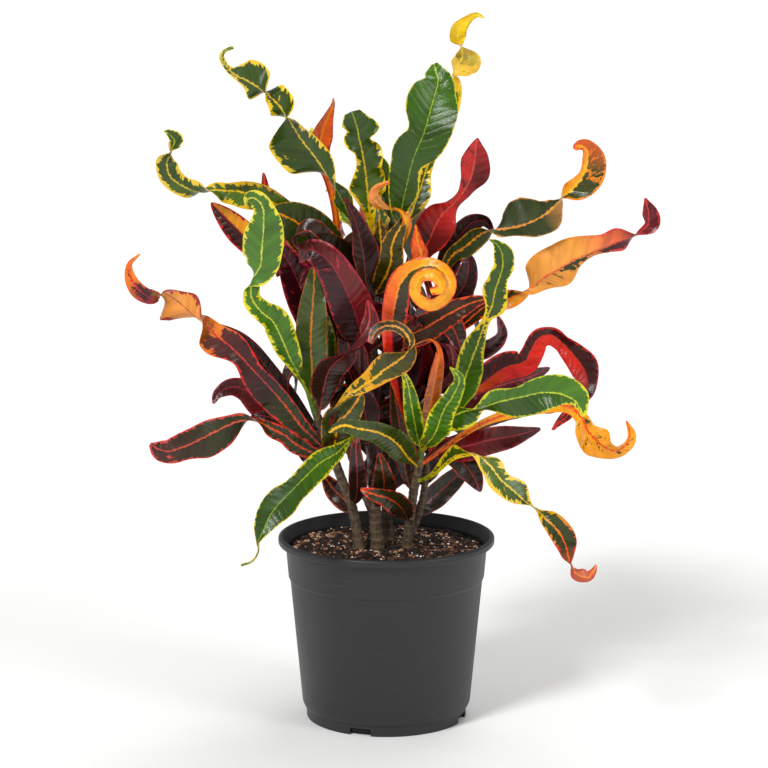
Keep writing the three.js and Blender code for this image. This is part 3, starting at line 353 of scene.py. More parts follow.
        rib=[[-92, -21, 332, 0, 11, 9], [-111, -30, 359, 0, 20, 11], [-126, -39, 379, 0, 21, 11],
            [-142, -46, 398, 0, 18, 10], [-157, -53, 416, 20, 12, 14], [-169, -57, 429, 0, 17, 18],
            [-182, -61, 440, 0, 21, 15], [-192, -65, 451, 30, 19, 10], [-200, -68, 459, 100, 10, 10],
            [-206, -70, 464, 150, 12, 12], [-215, -73, 473, 178, 18, 23], [-225, -76, 482, 190, 11, 28],
            [-235, -79, 488, 230, 9, 21], [-243, -81, 488, 300, 9, 19], [-252, -82, 486, 345, 9, 11],
            [-263, -84, 494, 360, 10, 8], [-271, -86, 507, 360, 7, 6], [-272, -88, 522, 360, 3, 3],
            [-261, -90, 533, 360, 1, 1]]
    ),
    dict(
        name="left_brown", stem="left", height=300, half=9, ruffle=4,
        rib=[[-93, 12, 340, 20], [-116, 10, 370, 20], [-138, 6, 401, 20], [-158, 2, 424, 30],
            [-178, -2, 438, 40], [-197, -5, 445, 60]]
    ),
    dict(
        name="left_red_hump", stem="left", height=297, half=15, ruffle=2,
        rib=[[-108, 12, 324, 0], [-138, 15, 350, 0], [-154, 14, 366, 0], [-170, 12, 371, 0],
            [-185, 9, 364, 10], [-191, 5, 353, 20]]
    ),
    dict(
        name="left_low_long", stem="left", height=288, ruffle=2.5, waves=4,
        rib=[[-95, -19, 310, 0, 10, 9], [-111, -26, 324, 0, 10, 9], [-129, -31, 334, 30, 10, 7],
            [-144, -35, 342, 90, 7, 7], [-157, -39, 343, 160, 9, 12], [-171, -43, 339, 180, 11, 20],
            [-187, -48, 332, 180, 15, 24], [-202, -52, 325, 180, 16, 24], [-218, -55, 318, 180, 16, 17],
            [-235, -57, 313, 180, 13, 15], [-247, -59, 316, 180, 9, 12], [-256, -60, 321, 180, 2, 2]]
    ),
    dict(
        name="left_low_short", stem="left", height=303, half=9,
        rib=[[-95, 0, 322, 30], [-117, -1, 334, 30], [-137, -3, 341, 40], [-152, -5, 338, 60]]
    ),
    dict(
        name="right_low_long", stem="right", height=268, ruffle=2, waves=5,
        rib=[[51, -28, 281, 0, 3, 3], [69, -46, 302, 0, 9, 4], [83, -57, 310, 20, 14, 4],
            [97, -66, 311, 90, 6, 6], [112, -78, 301, 170, 12, 13], [123, -88, 288, 180, 15, 10],
            [139, -99, 276, 180, 13, 15], [149, -105, 268, 210, 7, 8], [158, -109, 262, 270, 4, 4],
            [169, -115, 252, 340, 11, 7], [181, -121, 242, 360, 15, 11], [190, -125, 228, 360, 14, 11],
            [194, -129, 214, 380, 7, 7], [197, -130, 205, 450, 4, 4], [203, -132, 195, 520, 7, 8],
            [214, -134, 192, 540, 6, 8], [220, -134, 198, 540, 4, 4], [223, -135, 206, 540, 1, 1]]
    ),
    dict(
        name="right_low_dark", stem="right", height=224, half=13, ruffle=2,
        rib=[[42, 17, 235, 0], [60, 30, 248, 0], [78, 35, 264, 0], [98, 30, 283, 0]]
    ),
    dict(
        name="right_maroon_mid", stem="back_right", height=293, half=16, ruffle=3,
        rib=[[77, 20, 300, 0], [110, 7, 311, 0], [140, 0, 318, 0], [170, 0, 326, 10]]
    ),
    dict(
        name="right_dark_hook", stem="right", height=291, half=10, ruffle=2,
        rib=[[81, -22, 325, 60], [119, -28, 343, 60], [156, -33, 352, 60], [189, -36, 361, 40],
            [204, -37, 363, 20], [199, -38, 351, 0], [187, -39, 340, -10], [180, -40, 333, -20]]
    ),
    dict(
        name="right_orange_hook", stem="right", height=286, ruffle=1.5,
        rib=[[102, -39, 339, 0, 4, 4], [155, -56, 359, 0, 7, 7], [193, -65, 365, 0, 8, 8],
            [209, -70, 354, 0, 7, 8], [217, -73, 339, 0, 10, 15], [227, -76, 328, 0, 17, 19],
            [238, -78, 320, 10, 10, 12], [249, -80, 319, 20, 7, 9], [258, -82, 327, 20, 4, 9],
            [261, -83, 337, 20, 3, 7], [257, -85, 352, 20, 1, 1]]
    ),
    dict(
        name="orange_bar", stem="centre", height=415, half=15, ruffle=3,
        rib=[[36, -47, 444, 0], [66, -62, 464, 0], [91, -65, 477, 0], [112, -62, 482, 10]]
    ),
    dict(
        name="small_orange_curl", stem="right", young=True, height=302, half=9,
        rib=[[52, -111, 410, 30], [54, -120, 435, 60], [45, -121, 446, 90], [30, -120, 441, 120]]
    ),
    dict(
        name="low_centre_front", stem="right", height=222, half=12, ruffle=2,
        rib=[[15, -47, 249, 0], [2, -67, 263, 0], [-13, -75, 269, 0], [-28, -72, 274, 10]]
    ),
    dict(
        name="low_centre_up", stem="centre", height=235, half=13, ruffle=3,
        rib=[[-3, -38, 268, 0], [-4, -52, 290, 0], [-8, -50, 309, 10]]
    ),
    dict(
        name="low_red_rib", stem="left", height=237, half=9, ruffle=2,
        rib=[[-32, -33, 264, 0], [-32, -52, 293, 0], [-33, -55, 316, 0], [-31, -50, 329, 0]]
    ),
    dict(
        name="low_left_back", stem="left", height=229, half=12,
        rib=[[-45, 26, 238, 0], [-58, 38, 248, 0], [-72, 35, 268, 10]]
    ),
    dict(
        name="olive_oval", stem="left", height=292, half=17, ruffle=2, blunt=0.5,
        rib=[[-53, -38, 340, 0], [-44, -55, 352, 0], [-34, -66, 367, 0], [-27, -70, 380, 0]]
    ),
    dict(
        name="dark_red_upright", stem="right", height=248, half=9,
        rib=[[20, -16, 288, 0], [15, -22, 329, 0], [10, -26, 363, 0], [6, -30, 388, 0]]
    ),
]

# Leaves on the other sides, which take their form from one above: form, stem, height, the angle in
# degrees that the form is turned about the stem, and its size.
TURNED_LEAVES = [
    ("left_red_long", "back_right", 345, -110, 0.85),
    ("left_red_long", "back_left", 330, -95, 0.9),
    ("left_lime_curl", "back", 472, -86, 0.7),
    ("right_sickle", "back_left", 386, 101, 0.95),
    ("right_sickle", "back_right", 368, 140, 0.9),
    ("right_orange_long", "back_left", 396, 105, 0.9),
    ("right_orange_long", "back", 360, 110, 0.9),
    ("left_low_long", "back_right", 300, 205, 1),
    ("left_low_long", "back_left", 292, -100, 0.95),
    ("green_droop", "back", 330, 185, 1),
    ("right_red_ring", "back", 330, 85, 0.95),
    ("lime_long", "back", 380, 140, 0.95),
    ("gold_loop", "back", 400, 150, 0.95),
    ("right_low_long", "back_left", 292, 115, 1),
    ("maroon_arch", "back", 408, -88, 0.8),
    ("maroon_pink", "back_right", 330, -150, 0.9),
    ("silver_upright", "back", 474, 210, 1),
    ("big_green", "back", 470, 150, 0.7),
    ("crown_ruffled", "back", 480, 220, 0.85),
    ("left_brown", "back_left", 345, -70, 1),
    ("red_upper", "back_left", 440, 100, 1),
    ("left_red_hump", "back_left", 370, -84, 1.1),
    ("maroon_hump", "back_left", 385, 235, 1.3),
    ("left_orange_back", "back_right", 430, -100, 1),
    ("left_dark_green", "back_right", 440, -120, 1),
    ("brown_red_twist", "back_right", 390, 140, 1),
    ("maroon_drop", "back_right", 350, 60, 1.3),
    ("right_maroon_mid", "back_right", 345, 30, 1),
    ("low_centre_up", "back", 260, 170, 1.1),
    ("low_left_back", "back", 250, 230, 1.2),
    ("right_low_dark", "back", 262, 30, 1.2),
    ("dark_gold_rib", "back", 300, 180, 1.1),
    ("maroon_grey", "centre", 330, 40, 1.1),
    ("maroon_grey", "centre", 270, 60, 1.1),
    ("maroon_arch", "centre", 340, 90, 0.9),
    ("brown_red_twist", "centre", 300, 60, 0.9),
    ("maroon_hump", "back_right", 300, -45, 1.2),
    ("maroon_drop", "back_left", 340, 20, 1.2),
    ("maroon_arch", "back_left", 380, 30, 0.9),
    ("maroon_grey", "back_right", 380, -10, 1.2),
    ("maroon_arch", "back_right", 340, 10, 0.9),
    ("maroon_grey", "centre", 440, 60, 1.2),
    ("maroon_grey", "centre", 410, -110, 1.1),
    ("maroon_grey", "centre", 240, 170, 1.1),
    ("maroon_drop", "centre", 345, -60, 1.3),
]

# ---- colour of the foliage ----
# field, margin and midrib colour, then the margin's width and the midrib's half width in
# millimetres, and how much of the field is blotched with the margin's colour.
PALETTES = {
    "deep_green": ("#2e4c08", "#d0b810", "#7c9c1c", 0.7, 0.6, 0.0),
    "green_gold": ("#324c08", "#f0c80a", "#dcb80e", 2.6, 0.9, 0.08),
    "gold": ("#4c6008", "#f2c00a", "#f6cc20", 2.4, 1.4, 0.8),
    "gold_flames": ("#3c4a08", "#f4b80c", "#f6c018", 2.6, 1.3, 0.44),
    "plain_yellow": ("#f4ca0a", "#dca808", "#f8d828", 1.0, 0.8, 0.05),
    "gold_edge": ("#4e6c0a", "#f2c40a", "#ecc010", 3.4, 1.2, 0.3),
    "fresh_green": ("#3e6a08", "#a8b41a", "#a6ba34", 0.8, 0.8, 0.04),
    "lime_gold": ("#447408", "#e6d818", "#ccd43c", 2.1, 0.8, 0.08),
    "silver_green": ("#4a5a26", "#a86018", "#e88c1c", 0.8, 1.0, 0.03),
    "green_orange": ("#303f08", "#c08010", "#ee9410", 0.9, 1.2, 0.04),
    "green_flames": ("#343c06", "#f2960c", "#ee7010", 1.8, 1.4, 0.42),
    "dark_gold_rib": ("#32420a", "#5c6410", "#f0b410", 0.6, 1.2, 0.02),
    "gold_green": ("#444e08", "#f0a80a", "#f6b814", 2.8, 1.4, 0.4),
    "orange_gold": ("#f49c0c", "#dc4a0a", "#f8b014", 1.0, 1.3, 0.1),
    "orange_inside": ("#f29c0c", "#ee860a", "#f8b818", 1.6, 1.5, 0.36),
    "orange_green": ("#3c4406", "#f49a0c", "#e8480c", 2.2, 1.2, 0.7),
    "orange_red": ("#ea5c0a", "#c02408", "#f48c14", 1.2, 1.1, 0.2),
    "orange_maroon": ("#5c140a", "#f0800c", "#e0380c", 2.2, 1.2, 0.66),
    "amber": ("#f0900c", "#a01c0c", "#8c1c0c", 2.6, 0.5, 0.14),
    "red_edge": ("#dc2414", "#ee4a18", "#a0101a", 1.6, 0.7, 0.12),
    "bright_red": ("#d41c16", "#6c0c0c", "#f05040", 0.8, 0.9, 0.3),
    "crimson": ("#6c0c12", "#b41a22", "#c82c34", 1.4, 0.8, 0.16),
    "maroon": ("#300a0c", "#84141c", "#8c1c28", 1.0, 0.6, 0.1),
    "maroon_crimson": ("#380810", "#a81430", "#981c30", 2.0, 0.6, 0.2),
    "maroon_red": ("#400a0a", "#d81c14", "#c83018", 1.6, 0.8, 0.16),
    "maroon_orange": ("#3e1808", "#ea440a", "#f4600c", 1.4, 0.9, 0.14),
    "maroon_green": ("#2c240a", "#b02c10", "#b8401c", 0.9, 0.8, 0.1),
    "olive_red": ("#2c2e08", "#d02c0c", "#dc480e", 1.5, 1.1, 0.12),
    "olive_gold": ("#3c3a08", "#c87c0c", "#f0a80e", 0.9, 1.2, 0.06),
    "grey_maroon": ("#341a14", "#a82830", "#b03840", 0.9, 0.7, 0.04),
    # The next palette is painted shade: a near-black maroon that stands in for the shade deep in the
    # plant, on leaves by the stems, low under the canopy and curled back inward.
    "dusk": ("#22100a", "#5c180e", "#702818", 0.7, 0.6, 0.04),
}

# The palettes of each leaf from its stem to its tip, evenly spaced. A leaf's parts deep in the plant take
# the near-black palette of painted shade.
LEAF_COLOURS = {
    "top_left_corkscrew": (
        "olive_gold green_orange deep_green green_gold green_gold green_gold green_gold deep_green"
    ),
    "top_right_gold": (
        "orange_gold olive_gold green_gold green_gold gold_edge gold plain_yellow plain_yellow"
    ),
    "big_green": "fresh_green deep_green deep_green fresh_green",
    "crown_ruffled": "green_gold gold_edge green_gold deep_green",
    "orange_tip": "maroon_orange orange_red orange_red",
    "left_gold_hook": (
        "maroon_orange maroon_orange maroon_green olive_gold gold_edge green_gold green_gold deep_green"
    ),
    "left_orange_back": "maroon_orange maroon_red maroon_red maroon_red",
    "red_tip_back": "maroon bright_red bright_red",
    "left_lime_curl": "fresh_green lime_gold lime_gold lime_gold lime_gold",
    "left_dark_green": "dusk green_orange green_orange",
    "olive_fold": "olive_gold maroon_green maroon",
    "maroon_arch": "maroon maroon maroon_crimson maroon",
    "maroon_pink": "grey_maroon maroon_crimson maroon_crimson",
    "silver_upright": "fresh_green silver_green silver_green",
    "lime_sliver": "fresh_green lime_gold",
    "maroon_grey": "dusk grey_maroon maroon",
    "gold_loop": "olive_gold gold_green gold_flames gold_green olive_gold olive_gold maroon_green",
    "brown_red_twist": "maroon_green grey_maroon crimson",
    "orange_coil": (
        "dusk maroon_red red_edge red_edge red_edge orange_red orange_gold orange_gold orange_gold "
        "orange_gold"
    ),
    "ochre_curl": "olive_gold gold_green orange_gold orange_green",
    "olive_gold_centre": "olive_gold olive_gold",
    "olive_oval": "olive_gold green_orange",
    "dark_orange_edge": "dusk olive_gold",
    "red_upper": "grey_maroon maroon_green maroon_red bright_red bright_red bright_red",
    "orange_pointed": "dusk dusk orange_red orange_red",
    "maroon_hump": "dusk maroon",
    "right_sickle": (
        "dusk maroon_green green_orange green_orange green_orange green_orange orange_inside "
        "orange_inside orange_red"
    ),
    "right_orange_long": (
        "maroon_orange maroon_orange maroon_orange green_flames orange_green green_flames maroon_red "
        "crimson crimson"
    ),
    "right_green_curl": "fresh_green fresh_green green_gold deep_green",
    "maroon_bow": "dusk maroon_crimson",
    "maroon_drop": "dusk maroon",
    "right_red_ring": "dusk maroon_red maroon maroon_red maroon_red maroon_red maroon dusk",
    "lime_long": "fresh_green lime_gold lime_gold fresh_green lime_gold",
    "lime_curled": "fresh_green lime_gold fresh_green",
    "lime_toothed": "fresh_green lime_gold",
    "green_droop": "fresh_green lime_gold deep_green deep_green",
    "dark_gold_rib": "dark_gold_rib dark_gold_rib",
    "left_red_long": (
        "maroon_green maroon_green olive_red olive_red grey_maroon maroon_red maroon_red orange_maroon "
        "amber amber maroon_crimson orange_maroon orange_red"
    ),
    "left_brown": "dusk maroon",
    "left_red_hump": "crimson crimson maroon",
    "left_low_long": "maroon_green olive_red olive_red maroon_red",
    "left_low_short": "dusk maroon",
    "right_low_long": "fresh_green green_gold gold_edge green_gold olive_red orange_red",
    "right_low_dark": "dusk maroon_green",
    "right_maroon_mid": "dusk crimson maroon",
    "right_dark_hook": "dusk maroon_red",
    "right_orange_hook": "maroon_orange orange_green orange_green orange_green",
    "orange_bar": "maroon_green maroon_orange",
    "small_orange_curl": "orange_green orange_red",
    "low_centre_front": "dusk olive_red",
    "low_centre_up": "dusk maroon_green",
    "low_red_rib": "dusk grey_maroon",
    "low_left_back": "dusk maroon_orange",
    "dark_red_upright": "dusk maroon_green",
    "inner": "dusk maroon_green maroon",
}

# Where the right half of a leaf differs from the left one.
RIGHT_COLOURS = {
    "left_gold_hook": (
        "maroon_orange maroon_green maroon_green gold_edge gold_flames gold_edge green_gold deep_green"
    ),
    "left_orange_back": "maroon_orange grey_maroon orange_gold orange_gold",
    "maroon_arch": "maroon crimson crimson maroon",
    "orange_coil": (
        "dusk maroon maroon maroon maroon maroon_green orange_green orange_gold orange_gold orange_gold"
    ),
    "right_sickle": (
        "dusk maroon_green green_orange green_orange green_orange green_orange green_flames green_flames "
        "orange_red"
    ),
    "right_orange_long": (
        "maroon_orange maroon_orange green_flames orange_gold orange_gold orange_gold orange_red crimson "
        "maroon"
    ),
    "right_red_ring": "dusk maroon orange_red bright_red red_edge red_edge crimson dusk",
    "red_upper": "grey_maroon dusk crimson bright_red crimson bright_red",
    "lime_long": "fresh_green fresh_green deep_green deep_green fresh_green",
}

# ---- sizes of the pot and the mix, in millimetres ----
POT_HEIGHT = 206
RIM_RADIUS = 120
LIP_HEIGHT = 8.5
COLLAR_TOP_RADIUS = 112
COLLAR_FOOT_RADIUS = 108.8
COLLAR_HEIGHT = 37.5
BODY_TOP_RADIUS = 107
BODY_FOOT_RADIUS = 93.9
FOOT_RADIUS = 89.6
FOOT_HEIGHT = 12.5
SHOULDER_HEIGHT = 18
POT_WALL = 2.2
NOTCH_COUNT, NOTCH_PHASE, NOTCH_WIDTH, NOTCH_HEIGHT, NOTCH_DEPTH = 4, 0.79, 26, 8, 9
NOTCH_DRAFT = 0.9
POT_SIDES = 144
ROUNDING_POINTS = 5
MOULDED_EDGE = 38  # degrees past which an edge stays sharp
SOIL_TOP = 192
SOIL_RADIUS = 105
SOIL_RINGS, SOIL_SIDES = 44, 150
SOIL_ROUGHNESS = 2.2
SOIL_BAND = 8  # below the mix's mean surface, where chips may still lie
SOIL_FACING = 0.6  # how far a face has to look up to carry chips
SOIL_SHADE = 0.12  # of the mix under its chips, on the scale from peat to perlite
CHIP_DENSITY = 90000.0  # tried places for each square metre, before the least distance counts
CHIP_ROUGHNESS = 2.6
TILT = 0.45  # how far a chip is tilted, in radians
TOUCH_GAP = 0.3

# ---- stems and leaves in general ----
PLANTS = ("centre", "left", "right", "back")
YOUNG_RADIUS = 3.6
STEM_STEP = 1.5
GREENING_HEIGHT = 24  # over which bark gives way to green growth
FOOT_SWELL, FOOT_SWELL_HEIGHT = 0.22, 14
STEM_TIP_LENGTH = 5
SCAR_TILT, SCAR_DRIFT = 1.6, 12  # how unevenly scars go round and follow one another
SCAR_SINE = 0.42  # a scar stands out where the sine along the stem is below this
GREEN_SCAR = 0.4  # height of a scar on green growth, as a share of one on bark
BARK_RADIUS = 5  # at which the bark's unevenness is read, on every stem
STALK_HALF_WIDTH = 2
STALK_SHARE = 0.1
FOLD_ANGLE = 14
PEAK, BLUNT, WAVES = 0.45, 0.75, 3  # of a leaf whose row doesn't say
TIP_HALF_WIDTH = 1.2
LEAST_HALF_WIDTH = 0.8
FULL_RUFFLE_WIDTH = 18  # half width from which an edge waves in full
SHARP_EDGE = 60  # degrees past which an edge of a blade stays sharp
STILL_REACH, WAVY_REACH = 2, 12  # from the rib, where ripples begin and where they are full
STALK_LENGTH, RIB_REACH = 30, 3.5
TIP_LENGTH, TIP_SHARE = 20, 0.45  # how long the thinned tip is, and how thin it gets
MATURE_GLOSS, YOUNG_GLOSS, DULLER_BELOW = 0.2, 0.18, 0.14
VEIN_SPACING = 9.0  # between side veins, along a leaf
VEIN_LEAN = -0.7  # how far a side vein runs back from its edge to the rib, for each millimetre out
LENGTH_SAMPLES, FEWEST_SECTIONS, HALVINGS = 241, 8, 40
# Inner leaves: the stems that carry them, and between what limits they are drawn. Turns are in
# radians from one leaf to the next, and faces and twists in degrees. A leaf goes outward by a share
# of its length, rises and then droops, and stays within a reach of the pot's axis.
INNER_STEMS = ("centre", "back_left", "back_right", "back")
INNER_HEIGHTS = (285, 450)
INNER_LENGTHS = (85, 125)
INNER_HALF_WIDTHS = (12, 17)
INNER_TURN, INNER_TURN_CHANCE = 2.4, (-0.3, 0.3)
INNER_RISES, INNER_FACES, INNER_TWISTS = (0.35, 1.1), (-100, -25), (-20, 20)
INNER_ROWS, INNER_SPREAD, INNER_DROOP, INNER_REACH = 6, 0.7, 0.75, 108
# What the lines of stems and leaves carry on their points.
STEM_KEYS = ("middle", "side", "up", "stem")
LEAF_KEYS = ("middle", "side", "up", "reach", "wave")
COLOUR_KEYS = ("field", "right_field", "margin", "rib")

# ---- camera, fitted to the pot's rim, collar and foot ----
CAMERA_PLACE = (-0.00265, -3.0557, 0.9546)
CAMERA_PITCH = 10.72
CAMERA_LENS = 132.6
CAMERA_SENSOR = 36.0


# ---- small tools ----


def linear(code):
    """A hex sRGB colour as linear red, green, blue and alpha."""
    parts = [int(code[i : i + 2], 16) / 255 for i in (1, 3, 5)]
    return [p / 12.92 if p < 0.04045 else ((p + 0.055) / 1.055) ** 2.4 for p in parts] + [1.0]


def add(tree, kind, inputs=(), **settings):
    """Adds a node with its settings, fills or links its inputs, and returns its first output."""
    kind, preset = kind if isinstance(kind, tuple) else (kind, {})
    node = tree.nodes.new(kind)
    for name, value in {**preset, **settings}.items():
        setattr(node, name, value)
    for key, value in inputs.items() if isinstance(inputs, dict) else enumerate(inputs):
        if isinstance(value, bpy.types.NodeSocket):
            tree.links.new(value, node.inputs[key])
        elif value is not None:
            node.inputs[key].default_value = value
    return next((socket for socket in node.outputs if socket.enabled), None)


def new_tree(name, sizes):
    """A Geometry Nodes tree with a geometry, named sizes and a material as its inputs."""
    tree = bpy.data.node_groups.new(name, "GeometryNodeTree")
    sockets = tree.interface
    sockets.new_socket("Geometry", in_out="INPUT", socket_type="NodeSocketGeometry")
    for size, kind in sizes.items():
        sockets.new_socket(size, in_out="INPUT", socket_type="NodeSocket" + kind)
    sockets.new_socket("Material", in_out="INPUT", socket_type="NodeSocketMaterial")
    sockets.new_socket("Geometry", in_out="OUTPUT", socket_type="NodeSocketGeometry")
    return tree, tree.nodes.new("NodeGroupInput").outputs


def end_tree(tree, given, geometry):
    """Ends a tree with its geometry made real, in the given material."""
    whole = add(tree, "GeometryNodeRealizeInstances", {"Geometry": geometry})
    whole = add(tree, "GeometryNodeSetMaterial", {"Geometry": whole, "Material": given["Material"]})
    add(tree, "NodeGroupOutput", {"Geometry": whole})


def applied(piece):
    """Gives a piece the plain mesh that its modifiers make, without the modifiers."""
    bpy.context.view_layer.update()
    depsgraph = bpy.context.evaluated_depsgraph_get()
    whole = bpy.data.meshes.new_from_object(piece.evaluated_get(depsgraph), depsgraph=depsgraph)
    piece.modifiers.clear()
    piece.data = whole
    return whole


def grow(name, mesh, tree, values):
    """Runs a tree on a mesh and keeps the result as a plain mesh object."""
    piece = bpy.data.objects.new(name, mesh)
    modifier = piece.modifiers.new(tree.name, "NODES")
    modifier.node_group = tree
    sockets = {s.name: s.identifier for s in tree.interface.items_tree if s.in_out == "INPUT"}
    for size, value in values.items():
        modifier[sockets[size]] = value
    bpy.context.scene.collection.objects.link(piece)
    grown = applied(piece)
    bpy.data.meshes.remove(mesh)
    if not grown.polygons:
        raise RuntimeError(f"{name} came out empty")
    return piece


def mesh_from(name, points, faces=(), edges=()):
    """A mesh of points with faces or edges between them."""
    mesh = bpy.data.meshes.new(name)
    mesh.from_pydata([tuple(p) for p in points], [tuple(e) for e in edges], [tuple(f) for f in faces])
    mesh.update()
    return mesh


def lines_mesh(name, tables):
    """A mesh of separate lines. Each table holds a list for every line, with a value for each of its
    points: middle is where the point is, and all are kept on the points under the table's name."""
    last = np.cumsum([len(points) for points in tables["middle"]]) - 1
    edges = [(i, i + 1) for i in range(last[-1]) if i not in last]
    mesh = mesh_from(name, np.vstack(tables["middle"]), edges=edges)
    for key, parts in tables.items():
        kind, field = ("FLOAT_COLOR", "color") if key in COLOUR_KEYS else ("FLOAT_VECTOR", "vector")
        layer = mesh.attributes.new(key, kind, "POINT")
        layer.data.foreach_set(field, np.vstack(parts).astype(np.float32).ravel())
    return mesh


def new_material(name):
    """A material with an empty tree, and that tree."""
    material = bpy.data.materials.new(name)
    material.use_nodes = True
    material.node_tree.nodes.clear()
    return material, material.node_tree


def end_material(tree, shader):
    """Ends a material's tree with its shader."""
    add(tree, "ShaderNodeOutputMaterial", {"Surface": shader})


# ---- lines that stems and leaves follow ----


def smooth_rows(rows, places):
    """The rows of a table at places from 0 to 1, on a smooth line through all its rows."""
    rows = np.asarray(rows, float)
    ends = np.vstack([2 * rows[0] - rows[1], rows, 2 * rows[-1] - rows[-2]])
    at = np.clip(np.asarray(places, float) * (len(rows) - 1), 0, len(rows) - 1 - 1e-9)
    i = at.astype(int)
    f = (at - i)[:, None]
    before, a, b, after = ends[i], ends[i + 1], ends[i + 2], ends[i + 3]
    leave, arrive = (b - before) / 2, (after - a) / 2
    bend = 2 * a - 2 * b + leave + arrive
    swell = 3 * b - 3 * a - 2 * leave - arrive
    return ((bend * f + swell) * f + leave) * f + a


def even_places(rows, step):
    """Places at equal lengths along the line through the rows, and the line's length."""
    fine = np.linspace(0, 1, LENGTH_SAMPLES)
    points = smooth_rows(rows, fine)[:, :3]
    lengths = np.concatenate([[0], np.cumsum(np.linalg.norm(np.diff(points, axis=0), axis=1))])
    count = max(FEWEST_SECTIONS, math.ceil(lengths[-1] / step))
    return np.interp(np.linspace(0, lengths[-1], count + 1), lengths, fine), lengths[-1]


def framed(rows, places, spin=0.0):
    """Points along a line, with the way that the line goes at each and the way that a blade on it
    faces, which is to the front, turned by spin about the upright."""
    points = smooth_rows(rows, places)[:, :3]
    near = 1e-3
    ahead = smooth_rows(rows, np.clip(places + near, 0, 1))[:, :3]
    behind = smooth_rows(rows, np.clip(places - near, 0, 1))[:, :3]
    along = ahead - behind
    along /= np.linalg.norm(along, axis=1)[:, None]
    face = np.array([math.sin(spin), -math.cos(spin), 0.0])
    up = face - along * (along @ face)[:, None]
    up /= np.linalg.norm(up, axis=1)[:, None]
    return points, along, up


def point_at_height(line, height):
    """The point of a stem's middle line at a height."""
    low, high = 0.0, 1.0
    for _ in range(HALVINGS):
        middle = (low + high) / 2
        if smooth_rows(line, [middle])[0][2] < height:
            low = middle
        else:
            high = middle
    return smooth_rows(line, [low])[0]


def lance_width(u, leaf):
    """Half width of a plain lance-shaped blade at u from 0 at the stem to 1 at the tip."""
    along = np.clip((u - STALK_SHARE) / (1 - STALK_SHARE), 0, 1)
    skew = math.log(0.5) / math.log(leaf.get("peak", PEAK))
    swell = np.clip(np.sin(math.pi * along**skew), 0, 1)
    return leaf["half"] * swell ** leaf.get("blunt", BLUNT) + TIP_HALF_WIDTH


def rooted(leaf):
    """A leaf with its root point on the stem put in front of its rows."""
    root = point_at_height(STEMS[leaf["stem"]]["line"], leaf["height"])
    first = leaf["rib"][0]
    widths = [STALK_HALF_WIDTH, STALK_HALF_WIDTH] if len(first) > 4 else []
    young = leaf.get("young", False)
    return dict(leaf, young=young, spin=0.0, rib=[[*root, first[3], *widths], *leaf["rib"]])


def turned(form, stem, height, angle, size):
    """A leaf turned about its root, sized and moved to another place."""
    original = rooted(next(leaf for leaf in LEAVES if leaf["name"] == form))
    place = point_at_height(STEMS[stem]["line"], height)
    spin = math.radians(angle)
    cosine, sine = math.cos(spin), math.sin(spin)
    about = np.array([[cosine, -sine, 0], [sine, cosine, 0], [0, 0, 1]])
    root = np.array(original["rib"][0][:3])
    rows = []
    for row in original["rib"]:
        step = about @ (np.array(row[:3]) - root) * size
        rows.append([*(place + step), row[3], *[width * size for width in row[4:]]])
    young = height > STEMS[stem].get("young_from", math.inf)
    moved = dict(original, stem=stem, height=height, spin=spin, rib=rows, young=young)
    if "half" in original:
        moved["half"] = original["half"] * size
    return moved


def inner_leaves(count, seed):
    """Shaded leaves between the stems, each of which arches up and outward."""
    chance = np.random.default_rng(seed)
    inner = []
    for number in range(count):
        stem = INNER_STEMS[number % len(INNER_STEMS)]
        height = chance.uniform(*INNER_HEIGHTS)
        place = point_at_height(STEMS[stem]["line"], height)
        heading = number * INNER_TURN + chance.uniform(*INNER_TURN_CHANCE)
        out = np.array([math.cos(heading), math.sin(heading), 0.0])
        length = chance.uniform(*INNER_LENGTHS)
        rise, face = chance.uniform(*INNER_RISES), chance.uniform(*INNER_FACES)
        rows = []
        for share in np.linspace(0, 1, INNER_ROWS):
            far = length * share * INNER_SPREAD
            tall = length * (rise * share - INNER_DROOP * share**2)
            point = place + out * far + np.array([0, 0, tall])
            point[:2] *= min(1.0, INNER_REACH / max(1.0, math.hypot(point[0], point[1])))
            rows.append([*point, face + chance.uniform(*INNER_TWISTS)])
        inner.append({
            "name": "inner", "stem": stem, "young": False, "height": height, "rib": rows,
            "spin": heading, "half": chance.uniform(*INNER_HALF_WIDTHS), "peak": 0.5, "ruffle": 3.0,
            "waves": 2,
        })
    return inner


def colours_along(leaf, u):
    """The colours and the pattern's sizes at each place along a leaf. The right half may have
    palettes of its own."""
    left = LEAF_COLOURS[leaf["name"]].split()
    right = RIGHT_COLOURS.get(leaf["name"], LEAF_COLOURS[leaf["name"]]).split()
    found = {}
    columns = (("field", left, 0), ("right_field", right, 0), ("margin", left, 1), ("rib", left, 2))
    for key, names, column in columns:
        stops = np.linspace(0, 1, len(names))
        table = np.array([linear(PALETTES[n][column]) for n in names])
        found[key] = np.stack([np.interp(u, stops, table[:, c]) for c in range(4)], axis=1)
    sizes = np.array([PALETTES[n][3:] for n in left], float)
    stops = np.linspace(0, 1, len(left))
    found["traits"] = np.stack([np.interp(u, stops, sizes[:, c]) for c in range(3)], axis=1)
    return found


